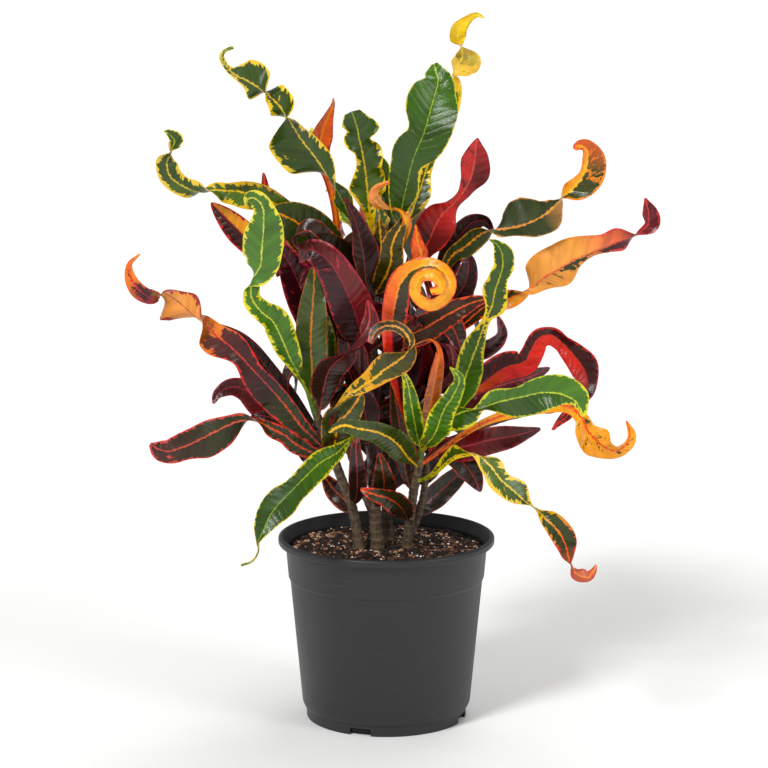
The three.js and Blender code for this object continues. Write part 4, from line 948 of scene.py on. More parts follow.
def rib_lines(name, leaves):
    """One line for each leaf along its midrib, with all that the blade needs on its points."""
    step = bpy.context.scene.croton_leaves.step / MM
    tables = {key: [] for key in (*LEAF_KEYS, "along", *COLOUR_KEYS, "traits")}
    for leaf in leaves:
        places, length = even_places(leaf["rib"], step)
        u = np.linspace(0, 1, len(places))
        points, along, up = framed(leaf["rib"], places, leaf["spin"])
        rows = smooth_rows(leaf["rib"], places)
        turn = np.radians(rows[:, 3])[:, None]
        across = np.cross(along, up)
        up = up * np.cos(turn) + across * np.sin(turn)
        side = np.cross(along, up)
        width = rows[:, 4:6] if rows.shape[1] > 4 else np.repeat(lance_width(u, leaf)[:, None], 2, axis=1)
        width = np.maximum(width, LEAST_HALF_WIDTH)
        cycles = 2 * math.pi * leaf.get("waves", WAVES) * u
        ruffle = leaf.get("ruffle", 0.0)
        wave = np.stack([-np.sin(cycles), np.sin(cycles), np.zeros(len(u))], axis=1)
        wave[:, :2] *= ruffle * np.minimum(width / FULL_RUFFLE_WIDTH, 1)
        for key, values in colours_along(leaf, u).items():
            tables[key].append(values)
        tables["middle"].append(points * MM)
        tables["side"].append(side)
        tables["up"].append(up)
        tables["reach"].append(np.column_stack([width, length * (1 - u)]) * MM)
        tables["along"].append(np.column_stack([length * u * MM, u, np.full(len(u), leaf["seed"])]))
        tables["wave"].append(wave * MM)
    return lines_mesh(name, tables)


def blade_tree():
    """Draws a closed blade along each rib line, from what the line's points carry."""
    sizes = {
        "Loop Points": "Int", "Fold": "Float", "Rib Thickness": "Float", "Edge Thickness": "Float",
        "Stalk Thickness": "Float", "Vein Spacing": "Float", "Vein Relief": "Float", "Ripple": "Float",
    }
    tree, given = new_tree("Blades along ribs", sizes)
    curves = add(tree, "GeometryNodeMeshToCurve", {"Mesh": given["Geometry"]})
    loop = add(tree, "GeometryNodeCurvePrimitiveCircle", {"Resolution": given["Loop Points"]})
    index = add(tree, "GeometryNodeInputIndex")
    share = add(tree, DIVIDED, [index, given["Loop Points"]])
    # Across runs from -1 at the left edge to 1 at the right one, over the face and back below it.
    # Its points lie closer together near the rib.
    halfway = add(tree, MINUS, [share, 0.5])
    straight = add(tree, TIMES_PLUS, [add(tree, ABSOLUTE, [halfway]), -4.0, 1.0])
    far = add(tree, ABSOLUTE, [straight])
    closer = add(tree, POWER, [far, 1.25])
    across = add(tree, TIMES, [closer, add(tree, SIGN, [straight])])
    face = add(tree, TIMES, [add(tree, SIGN, [halfway]), -1.0])
    inside = add(tree, BELOW, [far, 0.999])
    face = add(tree, TIMES, [face, inside])
    loop = add(tree, STORE_NUMBER, {"Geometry": loop, "Name": "across", "Value": across})
    loop = add(tree, STORE_NUMBER, {"Geometry": loop, "Name": "face", "Value": face})
    blades = add(tree, "GeometryNodeCurveToMesh", {
        "Curve": curves, "Profile Curve": loop, "Fill Caps": True,
    })

    across = add(tree, READ_NUMBER, {"Name": "across"})
    face = add(tree, READ_NUMBER, {"Name": "face"})
    vectors = {key: add(tree, READ_VECTOR, {"Name": key}) for key in (*LEAF_KEYS, "along")}
    parts = {
        key: add(tree, SPLIT, [vectors[key]]).node.outputs
        for key in ("reach", "along", "wave")
    }
    right = add(tree, ABOVE, [across, 0.0])
    width = add(tree, MIX, {0: right, 2: parts["reach"][0], 3: parts["reach"][1]})
    wave = add(tree, MIX, {0: right, 2: parts["wave"][0], 3: parts["wave"][1]})
    out = add(tree, ABSOLUTE, [across])
    span = add(tree, TIMES, [out, width])
    # The two halves rise from the rib, and the edges wave and ripple.
    rise = add(tree, TIMES, [span, add(tree, SINE, [given["Fold"]])])
    edge_wave = add(tree, TIMES, [wave, add(tree, POWER, [out, 1.6])])
    apart = add(tree, TIMES, [right, 7.0])
    ripple_at = add(tree, VECTOR_PLUS, [vectors["middle"], add(tree, JOINED, [apart, apart])])
    ripple = add(tree, NOISE, {"Vector": ripple_at, "Scale": 55.0, "Detail": 1.0})
    ripple = add(tree, MINUS, [ripple, 0.5])
    ripple = add(tree, TIMES, [ripple, given["Ripple"]])
    ripple = add(tree, TIMES, [ripple, add(tree, POWER, [out, 2.0])])
    slim = add(tree, RANGE, [span, STILL_REACH * MM, WAVY_REACH * MM, 0.0, 1.0])
    ripple = add(tree, TIMES, [ripple, slim])
    # The blade swells between its side veins, which lean towards the tip.
    lean = add(tree, TIMES_PLUS, [span, VEIN_LEAN, parts["along"][0]])
    beat = add(tree, TIMES, [add(tree, DIVIDED, [lean, given["Vein Spacing"]]), math.pi])
    swell = add(tree, ABSOLUTE, [add(tree, SINE, [beat])])
    fade = add(tree, TIMES, [out, add(tree, MINUS, [1.0, out])])
    swell = add(tree, TIMES, [swell, fade])
    swell = add(tree, TIMES, [swell, given["Vein Relief"]])
    swell = add(tree, TIMES, [swell, slim])
    lift = add(tree, PLUS, [rise, edge_wave])
    lift = add(tree, PLUS, [lift, ripple])
    lift = add(tree, PLUS, [lift, swell])
    # Thickest at the rib, which stands out below, and thicker still in the stalk.
    stalk = add(tree, RANGE, [
        parts["along"][0], 0.0, STALK_LENGTH * MM, given["Stalk Thickness"], given["Rib Thickness"],
    ])
    near_rib = add(tree, EASED, [span, 0.0, RIB_REACH * MM, 1.0, 0.0])
    tip = add(tree, RANGE, [parts["reach"][2], 0.0, TIP_LENGTH * MM, TIP_SHARE, 1.0])
    thick = add(tree, MIX, {0: near_rib, 2: given["Edge Thickness"], 3: stalk})
    thick = add(tree, TIMES, [thick, tip])
    thick = add(tree, TIMES, [thick, add(tree, TIMES, [face, 0.5])])
    lift = add(tree, PLUS, [lift, thick])
    sideways = add(tree, TIMES, [across, width])
    reach = add(tree, TIMES, [sideways, add(tree, COSINE, [given["Fold"]])])
    place = add(tree, SCALED, {0: vectors["side"], "Scale": reach})
    place = add(tree, VECTOR_PLUS, [place, vectors["middle"]])
    risen = add(tree, SCALED, {0: vectors["up"], "Scale": lift})
    place = add(tree, VECTOR_PLUS, [place, risen])
    # Millimetres along the leaf, out from its rib and in from its edge, for the pattern.
    inwards = add(tree, MINUS, [width, span])
    blade = add(tree, JOINED, [parts["along"][0], sideways, inwards])
    blade = add(tree, SCALED, {0: blade, "Scale": 1 / MM})
    blades = add(tree, STORE_VECTOR, {"Geometry": blades, "Name": "blade", "Value": blade})
    blades = add(tree, "GeometryNodeSetPosition", {"Geometry": blades, "Position": place})
    blades = add(tree, "GeometryNodeSetShadeSmooth", {"Geometry": blades, "Shade Smooth": True})
    corner = add(tree, "GeometryNodeInputMeshEdgeAngle")
    corner = add(tree, ABOVE, [corner, math.radians(SHARP_EDGE)])
    blades = add(tree, "GeometryNodeSetShadeSmooth", {
        "Geometry": blades, "Selection": corner, "Shade Smooth": False,
    }, domain="EDGE")
    end_tree(tree, given, blades)
    return tree


def leaf_material(name, gloss):
    """Croton leaf: a waxy cuticle, so glossy above and duller below, coloured in blotches that
    follow the side veins out from the midrib and in from the edge. The underside is also painted a
    little darker, which is painted shade."""
    material, tree = new_material(name)
    field = add(tree, ATTRIBUTE, attribute_name="field")
    right_field = add(tree, ATTRIBUTE, attribute_name="right_field")
    margin = add(tree, ATTRIBUTE, attribute_name="margin")
    midrib = add(tree, ATTRIBUTE, attribute_name="rib")
    blade = add(tree, ATTRIBUTE, attribute_name="blade").node.outputs["Vector"]
    traits = add(tree, ATTRIBUTE, attribute_name="traits").node.outputs["Vector"]
    along = add(tree, ATTRIBUTE, attribute_name="along").node.outputs["Vector"]
    face = add(tree, ATTRIBUTE, attribute_name="face").node.outputs["Fac"]
    run, sideways, inwards = add(tree, SPLIT, [blade]).node.outputs
    margin_width, rib_width, blotch = add(tree, SPLIT, [traits]).node.outputs
    seed = add(tree, SPLIT, [along]).node.outputs[2]
    span = add(tree, ABSOLUTE, [sideways])
    half = add(tree, TIMES, [add(tree, SIGN, [sideways]), 3.0])
    own = add(tree, TIMES_PLUS, [seed, 17.0, half])
    lean = add(tree, TIMES_PLUS, [span, VEIN_LEAN, run])
    # Flames about 4 mm wide that reach along the side veins.
    flame_at = add(tree, JOINED, [lean, add(tree, TIMES, [span, 0.22]), own])
    flame = add(tree, NOISE, {"Vector": flame_at, "Scale": 0.26, "Detail": 3.0, "Roughness": 0.62})
    flame = add(tree, EASED, [flame, 0.36, 0.66, 0.0, 1.0])
    other_at = add(tree, VECTOR_PLUS, [flame_at, (31.0, 11.0, 5.0)])
    other = add(tree, NOISE, {"Vector": other_at, "Scale": 0.2, "Detail": 3.0, "Roughness": 0.6})
    other = add(tree, EASED, [other, 0.36, 0.66, 0.0, 1.0])
    # Blotches about 12 mm long.
    patch_at = add(tree, JOINED, [lean, add(tree, TIMES, [span, 0.6]), own])
    patch = add(tree, NOISE, {"Vector": patch_at, "Scale": 0.085, "Detail": 5.0, "Roughness": 0.72})
    level = add(tree, TIMES_PLUS, [blotch, -0.42, 0.72])
    patch = add(tree, MINUS, [patch, level])
    patch = add(tree, RANGE, [patch, -0.012, 0.02, 0.0, 1.0])
    right = add(tree, ABOVE, [sideways, 0.0])
    field = add(tree, BLEND, {0: right, 6: field, 7: right_field})
    # The midrib's band and the margin's band, with jagged edges.
    rib_reach = add(tree, TIMES_PLUS, [flame, 1.3, 0.35])
    rib_reach = add(tree, TIMES, [rib_reach, rib_width])
    rib_mask = add(tree, MINUS, [span, rib_reach])
    rib_mask = add(tree, EASED, [rib_mask, -0.5, 0.4, 1.0, 0.0])
    edge_reach = add(tree, TIMES_PLUS, [other, 2.0, 0.3])
    edge_reach = add(tree, TIMES, [edge_reach, margin_width])
    edge_mask = add(tree, MINUS, [inwards, edge_reach])
    edge_mask = add(tree, EASED, [edge_mask, -0.5, 0.5, 1.0, 0.0])
    # Side veins as fine lines of the midrib's colour.
    beat = add(tree, TIMES, [lean, math.pi / VEIN_SPACING])
    vein = add(tree, ABSOLUTE, [add(tree, SINE, [beat])])
    line = add(tree, EASED, [vein, 0.0, 0.16, 1.0, 0.0])
    faint = add(tree, TIMES, [line, 0.07])
    mottle = add(tree, NOISE, {"Vector": flame_at, "Scale": 0.07, "Detail": 3.0})
    mottle = add(tree, RANGE, [mottle, 0.3, 0.7, 0.72, 1.28])
    colour = add(tree, BLEND, {0: patch, 6: field, 7: margin})
    colour = add(tree, SCALED, {0: colour, "Scale": mottle})
    colour = add(tree, BLEND, {0: faint, 6: colour, 7: midrib})
    colour = add(tree, BLEND, {0: edge_mask, 6: colour, 7: margin})
    colour = add(tree, BLEND, {0: rib_mask, 6: colour, 7: midrib})
    # The underside is rougher and a little less saturated, as a real one is, and its colour is painted 8%
    # darker as painted shade.
    below = add(tree, RANGE, [face, -0.5, 0.0, 1.0, 0.0])
    duller_and_painted_shade = add(tree, "ShaderNodeHueSaturation", {"Saturation": 0.95, "Value": 0.92, "Color": colour})
    colour = add(tree, BLEND, {0: below, 6: colour, 7: duller_and_painted_shade})
    rough = add(tree, MIX, {0: below, 2: gloss, 3: gloss + DULLER_BELOW})
    cells = add(tree, NOISE, {"Vector": blade, "Scale": 1.2, "Detail": 2.0})
    pillow = add(tree, POWER, [vein, 0.6])
    height = add(tree, TIMES_PLUS, [pillow, 1.2, cells])
    bump = add(tree, "ShaderNodeBump", {"Strength": 0.5, "Distance": 0.0004, "Height": height})
    shader = add(tree, SHADER, {
        "Base Color": colour, "Roughness": rough, "Normal": bump, "IOR": 1.45, "Specular IOR Level": 0.5,
    })
    end_material(tree, shader)
    return material


def stem_lines(name, stems):
    """One line for each stem, with its radius, its frame and how green it is on its points."""
    tables = {key: [] for key in STEM_KEYS}
    for stem in stems:
        places, length = even_places(stem["line"], STEM_STEP)
        points, along, up = framed(stem["line"], places)
        run = np.linspace(0, length, len(places))
        young_from = stem.get("young_from", math.inf)
        green = np.clip((points[:, 2] - young_from) / GREENING_HEIGHT + 0.5, 0, 1)
        radius = stem["radius"] + (YOUNG_RADIUS - stem["radius"]) * green
        # The foot of a cutting is a little thicker, and the tip closes in.
        above_soil = np.maximum(points[:, 2] - SOIL_TOP, 0)
        radius = radius * (1 + FOOT_SWELL * np.exp(-above_soil / FOOT_SWELL_HEIGHT))
        radius = radius * np.clip((length - run) / STEM_TIP_LENGTH, 0.15, 1) ** 0.5
        tables["middle"].append(points * MM)
        tables["side"].append(np.cross(along, up))
        tables["up"].append(up)
        tables["stem"].append(np.column_stack([radius * MM, run * MM, green]))
    return lines_mesh(name, tables)


def stem_tree():
    """Draws a round stem along each line, ringed by old leaf scars."""
    sizes = {"Sides": "Int", "Scar Spacing": "Float", "Scar Height": "Float", "Bark Relief": "Float"}
    tree, given = new_tree("Ringed stems", sizes)
    curves = add(tree, "GeometryNodeMeshToCurve", {"Mesh": given["Geometry"]})
    loop = add(tree, "GeometryNodeCurvePrimitiveCircle", {"Resolution": given["Sides"]})
    index = add(tree, "GeometryNodeInputIndex")
    angle = add(tree, DIVIDED, [index, given["Sides"]])
    angle = add(tree, TIMES, [angle, 2 * math.pi])
    loop = add(tree, STORE_NUMBER, {"Geometry": loop, "Name": "angle", "Value": angle})
    stems = add(tree, "GeometryNodeCurveToMesh", {
        "Curve": curves, "Profile Curve": loop, "Fill Caps": True,
    })
    angle = add(tree, READ_NUMBER, {"Name": "angle"})
    middle, side, up, stem = [add(tree, READ_VECTOR, {"Name": key}) for key in STEM_KEYS]
    radius, run, green = add(tree, SPLIT, [stem]).node.outputs
    cosine = add(tree, COSINE, [angle])
    sine = add(tree, SINE, [angle])
    out = add(tree, SCALED, {0: side, "Scale": cosine})
    out = add(tree, VECTOR_PLUS, [out, add(tree, SCALED, {0: up, "Scale": sine})])
    # Scars go round the stem unevenly, one at each old leaf.
    sway = add(tree, TIMES_PLUS, [sine, SCAR_TILT * MM, run])
    uneven = add(tree, NOISE, {"Vector": middle, "Scale": 40.0, "Detail": 1.0})
    sway = add(tree, TIMES_PLUS, [uneven, SCAR_DRIFT * MM, sway])
    beat = add(tree, TIMES, [add(tree, DIVIDED, [sway, given["Scar Spacing"]]), math.pi])
    gap = add(tree, ABSOLUTE, [add(tree, SINE, [beat])])
    ridge = add(tree, EASED, [gap, 0.0, SCAR_SINE, 1.0, 0.0])
    woody = add(tree, MINUS, [1.0, green])
    scar = add(tree, TIMES, [ridge, given["Scar Height"]])
    scar = add(tree, TIMES, [scar, add(tree, RANGE, [woody, 0.0, 1.0, GREEN_SCAR, 1.0])])
    surface = add(tree, VECTOR_TIMES_PLUS, {0: out, 1: [BARK_RADIUS * MM] * 3, 2: middle})
    bark = add(tree, NOISE, {"Vector": surface, "Scale": 260.0, "Detail": 3.0})
    bark = add(tree, MINUS, [bark, 0.5])
    bark = add(tree, TIMES, [bark, given["Bark Relief"]])
    bark = add(tree, TIMES, [bark, woody])
    reach = add(tree, PLUS, [add(tree, PLUS, [radius, scar]), bark])
    place = add(tree, SCALED, {0: out, "Scale": reach})
    place = add(tree, VECTOR_PLUS, [place, middle])
    stems = add(tree, STORE_NUMBER, {"Geometry": stems, "Name": "scar", "Value": ridge})
    stems = add(tree, "GeometryNodeSetPosition", {"Geometry": stems, "Position": place})
    stems = add(tree, "GeometryNodeSetShadeSmooth", {"Geometry": stems, "Shade Smooth": True})
    end_tree(tree, given, stems)
    return tree


def bark_material():
    """Croton stem: thin grey-brown bark with corky scars, turning to smooth green growth."""
    material, tree = new_material("Croton bark")
    stem = add(tree, ATTRIBUTE, attribute_name="stem").node.outputs["Vector"]
    green = add(tree, SPLIT, [stem]).node.outputs[2]
    scar = add(tree, ATTRIBUTE, attribute_name="scar").node.outputs["Fac"]
    place = add(tree, "ShaderNodeTexCoord").node.outputs["Object"]
    # Cork flecks about 3 mm across, drawn out along the stem.
    long_way = add(tree, "ShaderNodeMapping", {"Vector": place, "Scale": (1.0, 1.0, 0.35)})
    fleck = add(tree, NOISE, {
        "Vector": long_way, "Scale": 330.0, "Detail": 4.0, "Roughness": 0.65,
    })
    bark = add(tree, "ShaderNodeValToRGB", [fleck])
    ramp = bark.node.color_ramp.elements
    ramp[0].position, ramp[0].color = 0.3, linear("#24170f")
    ramp[1].position, ramp[1].color = 0.7, linear("#6e5a44")
    corky = add(tree, TIMES, [scar, 0.55])
    bark = add(tree, BLEND, {0: corky, 6: bark, 7: linear("#8c7a60")})
    growth = add(tree, BLEND, {0: corky, 6: linear("#4a7410"), 7: linear("#7c8c34")})
    colour = add(tree, BLEND, {0: green, 6: bark, 7: growth})
    bump = add(tree, "ShaderNodeBump", {"Strength": 0.6, "Distance": 0.0006, "Height": fleck})
    rough = add(tree, MIX, {0: green, 2: 0.85, 3: 0.4})
    shader = add(tree, SHADER, {"Base Color": colour, "Roughness": rough, "Normal": bump})
    end_material(tree, shader)
    return material


# ---- pot ----


def lathe(profile, sides):
    """A closed solid turned round the upright axis from a profile of radius and height. The profile
    runs from the middle of the underside, up the outside and back to the axis."""
    points, faces = [], []
    rings = []
    for radius, height in profile:
        if radius == 0:
            rings.append([len(points)] * sides)
            points.append((0.0, 0.0, height))
            continue
        rings.append(list(range(len(points), len(points) + sides)))
        for i in range(sides):
            angle = 2 * math.pi * i / sides
            points.append((radius * math.cos(angle), radius * math.sin(angle), height))
    for low, high in zip(rings, rings[1:]):
        for i in range(sides):
            j = (i + 1) % sides
            corners = list(dict.fromkeys([low[i], low[j], high[j], high[i]]))
            if len(corners) > 2:
                faces.append(corners)
    return points, faces


def rounded(corners):
    """A profile with each corner of radius, height and rounding cut into a small arc."""
    made = []
    for k, (x, y, cut) in enumerate(corners):
        if not cut:
            made.append((x, y))
            continue
        here, before, after = Vector((x, y)), Vector(corners[k - 1][:2]), Vector(corners[k + 1][:2])
        start = here + (before - here).normalized() * cut
        end = here + (after - here).normalized() * cut
        for t in np.linspace(0, 1, ROUNDING_POINTS):
            point = start * (1 - t) ** 2 + here * 2 * t * (1 - t) + end * t**2
            made.append((point.x, point.y))
    return made


def notch_cutters():
    """One block for each drain notch, across the foot ring and narrower above."""
    points, faces = [], []
    half, deep, tall = NOTCH_WIDTH / 2 * MM, NOTCH_DEPTH * MM, NOTCH_HEIGHT * MM
    top_half = half * NOTCH_DRAFT
    for i in range(NOTCH_COUNT):
        angle = (i + NOTCH_PHASE) * 2 * math.pi / NOTCH_COUNT
        cosine, sine = math.cos(angle), math.sin(angle)
        start = len(points)
        for x in (FOOT_RADIUS * MM - deep, FOOT_RADIUS * MM + deep):
            for y, z in ((-half, -tall), (half, -tall), (top_half, tall), (-top_half, tall)):
                points.append((x * cosine - y * sine, x * sine + y * cosine, z))
        for face in ((3, 2, 1, 0), (4, 5, 6, 7), (0, 1, 5, 4), (1, 2, 6, 5), (2, 3, 7, 6), (3, 0, 4, 7)):
            faces.append([start + corner for corner in face])
    return mesh_from("notches", points, faces)


def pot_piece(sizes):
    """The pot's wall, rim, collar and foot as one moulding, with the drain notches cut out. Each
    corner of its profile is a radius, a height and how much of it is rounded. The millimetres added
    to them are the drafts, beads and small steps of the moulding."""
    rim, wall = sizes.rim_radius / MM, sizes.wall / MM
    top = sizes.height / MM
    collar_top = top - LIP_HEIGHT
    collar_foot = collar_top - COLLAR_HEIGHT
    corners = [
        (0, 0, 0), (FOOT_RADIUS - 0.4, 0, 0.6), (FOOT_RADIUS, FOOT_HEIGHT, 0.3),
        (BODY_FOOT_RADIUS - 1.8, FOOT_HEIGHT + 0.8, 0.9), (BODY_FOOT_RADIUS, SHOULDER_HEIGHT, 2.4),
        (BODY_TOP_RADIUS, collar_foot - 2.5, 0.5),
        (COLLAR_FOOT_RADIUS, collar_foot, 0.8), (COLLAR_TOP_RADIUS, collar_top, 0.8),
        (rim - 1.0, collar_top, 0.6), (rim, collar_top + 1.5, 0.6), (rim, top - 1.6, 1.4),
        (rim - 2, top, 0.8), (rim - 4.2, top, 0.8), (rim - 5.4, top - 2, 1.0),
        (COLLAR_TOP_RADIUS - wall, collar_top - 4, 0.8),
        (COLLAR_FOOT_RADIUS - wall, collar_foot, 0.5), (BODY_TOP_RADIUS - wall, collar_foot - 5, 0.5),
        (BODY_FOOT_RADIUS - wall, SHOULDER_HEIGHT, 1.0), (FOOT_RADIUS - wall, FOOT_HEIGHT - 0.5, 0.5),
        (FOOT_RADIUS - wall, wall, 0.8), (0, wall, 0),
    ]
    profile = [(x * MM, y * MM) for x, y in rounded(corners)]
    points, faces = lathe(profile, POT_SIDES)
    pot = bpy.data.objects.new("growers_pot", mesh_from("growers_pot", points, faces))
    cutters = bpy.data.objects.new("notches", notch_cutters())
    for piece in (pot, cutters):
        bpy.context.scene.collection.objects.link(piece)
    cut = pot.modifiers.new("Notches", "BOOLEAN")
    cut.object, cut.operation, cut.solver = cutters, "DIFFERENCE", "EXACT"
    whole = applied(pot)
    bpy.data.objects.remove(cutters)
    whole.polygons.foreach_set("use_smooth", [True] * len(whole.polygons))
    whole.set_sharp_from_angle(angle=math.radians(MOULDED_EDGE))
    return pot


def pot_material(tint):
    """Injection-moulded polypropylene: satin charcoal, with a fine spark-eroded grain and faint
    scuffs where pots rub in their stack."""
    material, tree = new_material("Moulded charcoal polypropylene")
    place = add(tree, "ShaderNodeTexCoord").node.outputs["Object"]
    # The grain is about 0.6 mm across, drawn coarser than the real one so that it shows. Its clouds
    # are about 110 mm across, and the scuffs 60 mm long and 4 mm high.
    grain = add(tree, NOISE, {"Vector": place, "Scale": 1700.0, "Detail": 2.0})
    cloud = add(tree, NOISE, {"Vector": place, "Scale": 9.0, "Detail": 4.0})
    rubbed = add(tree, "ShaderNodeMapping", {"Vector": place, "Scale": (1.0, 1.0, 14.0)})
    scuff = add(tree, NOISE, {"Vector": rubbed, "Scale": 16.0, "Detail": 5.0, "Roughness": 0.7})
    scuff = add(tree, RANGE, [scuff, 0.62, 0.78, 0.0, 0.35])
    dark = [c * 0.82 for c in tint[:3]] + [1.0]
    colour = add(tree, BLEND, {0: cloud, 6: dark, 7: [*tint[:3], 1.0]})
    colour = add(tree, BLEND, {0: scuff, 6: colour, 7: linear("#5a5c5d")})
    rough = add(tree, RANGE, [cloud, 0.3, 0.7, 0.42, 0.54])
    bump = add(tree, "ShaderNodeBump", {"Strength": 0.12, "Distance": 0.0003, "Height": grain})
    shader = add(tree, SHADER, {
        "Base Color": colour, "Roughness": rough, "Normal": bump, "IOR": 1.49,
    })
    end_material(tree, shader)
    return material


# ---- potting mix ----


def mix_body():
    """The mix under its loose top, from the pot's floor to its lumpy surface."""
    wall = POT_WALL + TOUCH_GAP
    collar_foot = POT_HEIGHT - LIP_HEIGHT - COLLAR_HEIGHT
    below = [
        (0, wall), (FOOT_RADIUS - wall - 0.6, wall + 0.6), (FOOT_RADIUS - wall - 0.6, FOOT_HEIGHT - 1),
        (BODY_FOOT_RADIUS - wall - 0.9, SHOULDER_HEIGHT + 1),
        (BODY_TOP_RADIUS - wall - 0.6, collar_foot - 6),
        (COLLAR_FOOT_RADIUS - wall - 0.5, collar_foot + 2),
        (COLLAR_FOOT_RADIUS - wall + 0.5, SOIL_TOP - 4),
    ]
    top = [(radius, SOIL_TOP) for radius in np.linspace(SOIL_RADIUS, 0, SOIL_RINGS)]
    points, faces = lathe([(radius * MM, z * MM) for radius, z in below + top], SOIL_SIDES)
    shaped = []
    for x, y, z in points:
        if z > (SOIL_TOP - 1) * MM:
            x_mm, y_mm = x / MM, y / MM
            lumps = math.sin(x_mm / 11) * math.cos(y_mm / 13) + 0.6 * math.sin((x_mm + 2 * y_mm) / 17)
            z += (SOIL_ROUGHNESS * lumps * 0.6 - 1.0) * MM
        shaped.append((x, y, z))
    return mesh_from("potting_mix", shaped, faces)


def mix_tree():
    """Strews bark chips, peat crumbs and perlite over the upper face of the mix."""
    sizes = {
        "Chip Size": "Float", "Chip Spacing": "Float", "Crumb Size": "Float", "Crumb Spacing": "Float",
        "Seed": "Int",
    }
    tree, given = new_tree("Loose potting mix", sizes)
    body = given["Geometry"]
    normal = add(tree, "GeometryNodeInputNormal")
    upward = add(tree, SPLIT, [normal]).node.outputs[2]
    high = add(tree, SPLIT, [add(tree, "GeometryNodeInputPosition")]).node.outputs[2]
    top = add(tree, ABOVE, [upward, SOIL_FACING])
    top = add(tree, TIMES, [top, add(tree, ABOVE, [high, (SOIL_TOP - SOIL_BAND) * MM])])
    layers = [add(tree, STORE_NUMBER, {"Geometry": body, "Name": "grain", "Value": SOIL_SHADE})]
    # Each kind has its two sizes, how often its sphere is divided, its least and greatest share of
    # its size each way, what is added to the seed, and its lightest shade.
    kinds = (
        ("Chip Size", "Chip Spacing", 2, (0.45, 0.26, 0.12), (1.0, 0.5, 0.3), 0, 0.92),
        ("Crumb Size", "Crumb Spacing", 1, (0.4, 0.4, 0.35), (1.0, 0.9, 0.8), 7, 1.0),
    )
    for size, spacing, detail, least, most, shift, lightest in kinds:
        seed = add(tree, PLUS, [given["Seed"], float(shift)])
        points = add(tree, "GeometryNodeDistributePointsOnFaces", {
            "Mesh": body, "Selection": top, "Distance Min": given[spacing],
            "Density Max": CHIP_DENSITY, "Seed": seed,
        }, distribute_method="POISSON")
        lump = add(tree, "GeometryNodeMeshIcoSphere", {"Radius": 1.0, "Subdivisions": detail})
        turn = add(tree, RANDOM_VECTOR, {
            "Min": (-TILT, -TILT, 0.0), "Max": (TILT, TILT, 2 * math.pi), "Seed": seed,
        })
        stretch = add(tree, RANDOM_VECTOR, {"Min": least, "Max": most, "Seed": 3})
        stretch = add(tree, SCALED, {0: stretch, "Scale": given[size]})
        lumps = add(tree, "GeometryNodeInstanceOnPoints", {
            "Points": points, "Instance": lump, "Rotation": turn, "Scale": stretch,
        })
        shade = add(tree, RANDOM_NUMBER, {2: 0.0, 3: lightest, "Seed": 5})
        lumps = add(tree, STORE_NUMBER, {
            "Geometry": lumps, "Name": "grain", "Value": shade,
        }, domain="INSTANCE")
        layers.append(add(tree, "GeometryNodeRealizeInstances", {"Geometry": lumps}))
    loose = add(tree, "GeometryNodeJoinGeometry")
    join = loose.node
    for layer in layers[1:]:
        tree.links.new(layer, join.inputs[0])
    rough = add(tree, NOISE, {"Scale": 420.0, "Detail": 2.0})
    rough = add(tree, VECTOR_MINUS, [rough.node.outputs["Color"], (0.5, 0.5, 0.5)])
    rough = add(tree, SCALED, {0: rough, "Scale": CHIP_ROUGHNESS * MM})
    loose = add(tree, "GeometryNodeSetPosition", {"Geometry": loose, "Offset": rough})
    whole = add(tree, "GeometryNodeJoinGeometry")
    for layer in (layers[0], loose):
        tree.links.new(layer, whole.node.inputs[0])
    end_tree(tree, given, whole)
    return tree


def mix_material():
    """Potting mix: damp peat, dark composted bark and a few white grains of perlite."""
    material, tree = new_material("Peat, bark and perlite")
    grain = add(tree, ATTRIBUTE, attribute_name="grain").node.outputs["Fac"]
    place = add(tree, "ShaderNodeTexCoord").node.outputs["Object"]
    # Fibres and crumbs about 2 mm across.
    fibre = add(tree, NOISE, {"Vector": place, "Scale": 500.0, "Detail": 4.0})
    colour = add(tree, "ShaderNodeValToRGB", [grain])
    ramp = colour.node.color_ramp
    stops = (
        (0.0, "#0b0604"), (0.4, "#20120a"), (0.62, "#402414"), (0.76, "#784a2c"), (0.86, "#b48460"),
        (0.93, "#dcc0a4"), (0.97, "#f4ece2"),
    )
    ramp.elements[0].color, ramp.elements[1].color = linear(stops[0][1]), linear(stops[-1][1])
    ramp.elements[1].position = stops[-1][0]
    for position, code in stops[1:-1]:
        ramp.elements.new(position).color = linear(code)
    shade = add(tree, RANGE, [fibre, 0.3, 0.7, 0.6, 1.25])
    colour = add(tree, SCALED, {0: colour, "Scale": shade})
    bump = add(tree, "ShaderNodeBump", {"Strength": 0.7, "Distance": 0.0006, "Height": fibre})
    shader = add(tree, SHADER, {"Base Color": colour, "Roughness": 0.9, "Normal": bump})
    end_material(tree, shader)
    return material


# ---- what a user would change ----


def length(name, description, default, least, most):
    """A property that holds a length. Its default and its limits are given in millimetres."""
    return FloatProperty(
        name=name, description=description, default=default * MM, min=least * MM, max=most * MM,
        unit="LENGTH",
    )


class PotSizes(PropertyGroup):
    height: length("Height", "From the foot to the top of the rim", POT_HEIGHT, 100, 400)
    rim_radius: length("Rim radius", "Outside radius of the rolled rim", RIM_RADIUS, 60, 250)
    wall: length("Wall", "Thickness of the moulded wall", POT_WALL, 1, 5)
    colour: FloatVectorProperty(name="Colour", description="Colour of the plastic", subtype="COLOR",
                                size=4, default=linear("#1f2021"), min=0, max=1)


class MixSizes(PropertyGroup):
    chip: length("Bark chip", "Half length of the longest bark chip", 5.8, 1, 10)
    chip_spacing: length("Chip spacing", "Least distance between bark chips", 5.0, 2, 20)
    crumb: length("Crumb", "Half length of the largest peat crumb or perlite grain", 2.3, 0.5, 5)
    crumb_spacing: length("Crumb spacing", "Least distance between crumbs", 3.4, 1, 20)
    seed: IntProperty(name="Seed", description="Seed of the strewn chips and crumbs", default=11, min=0)


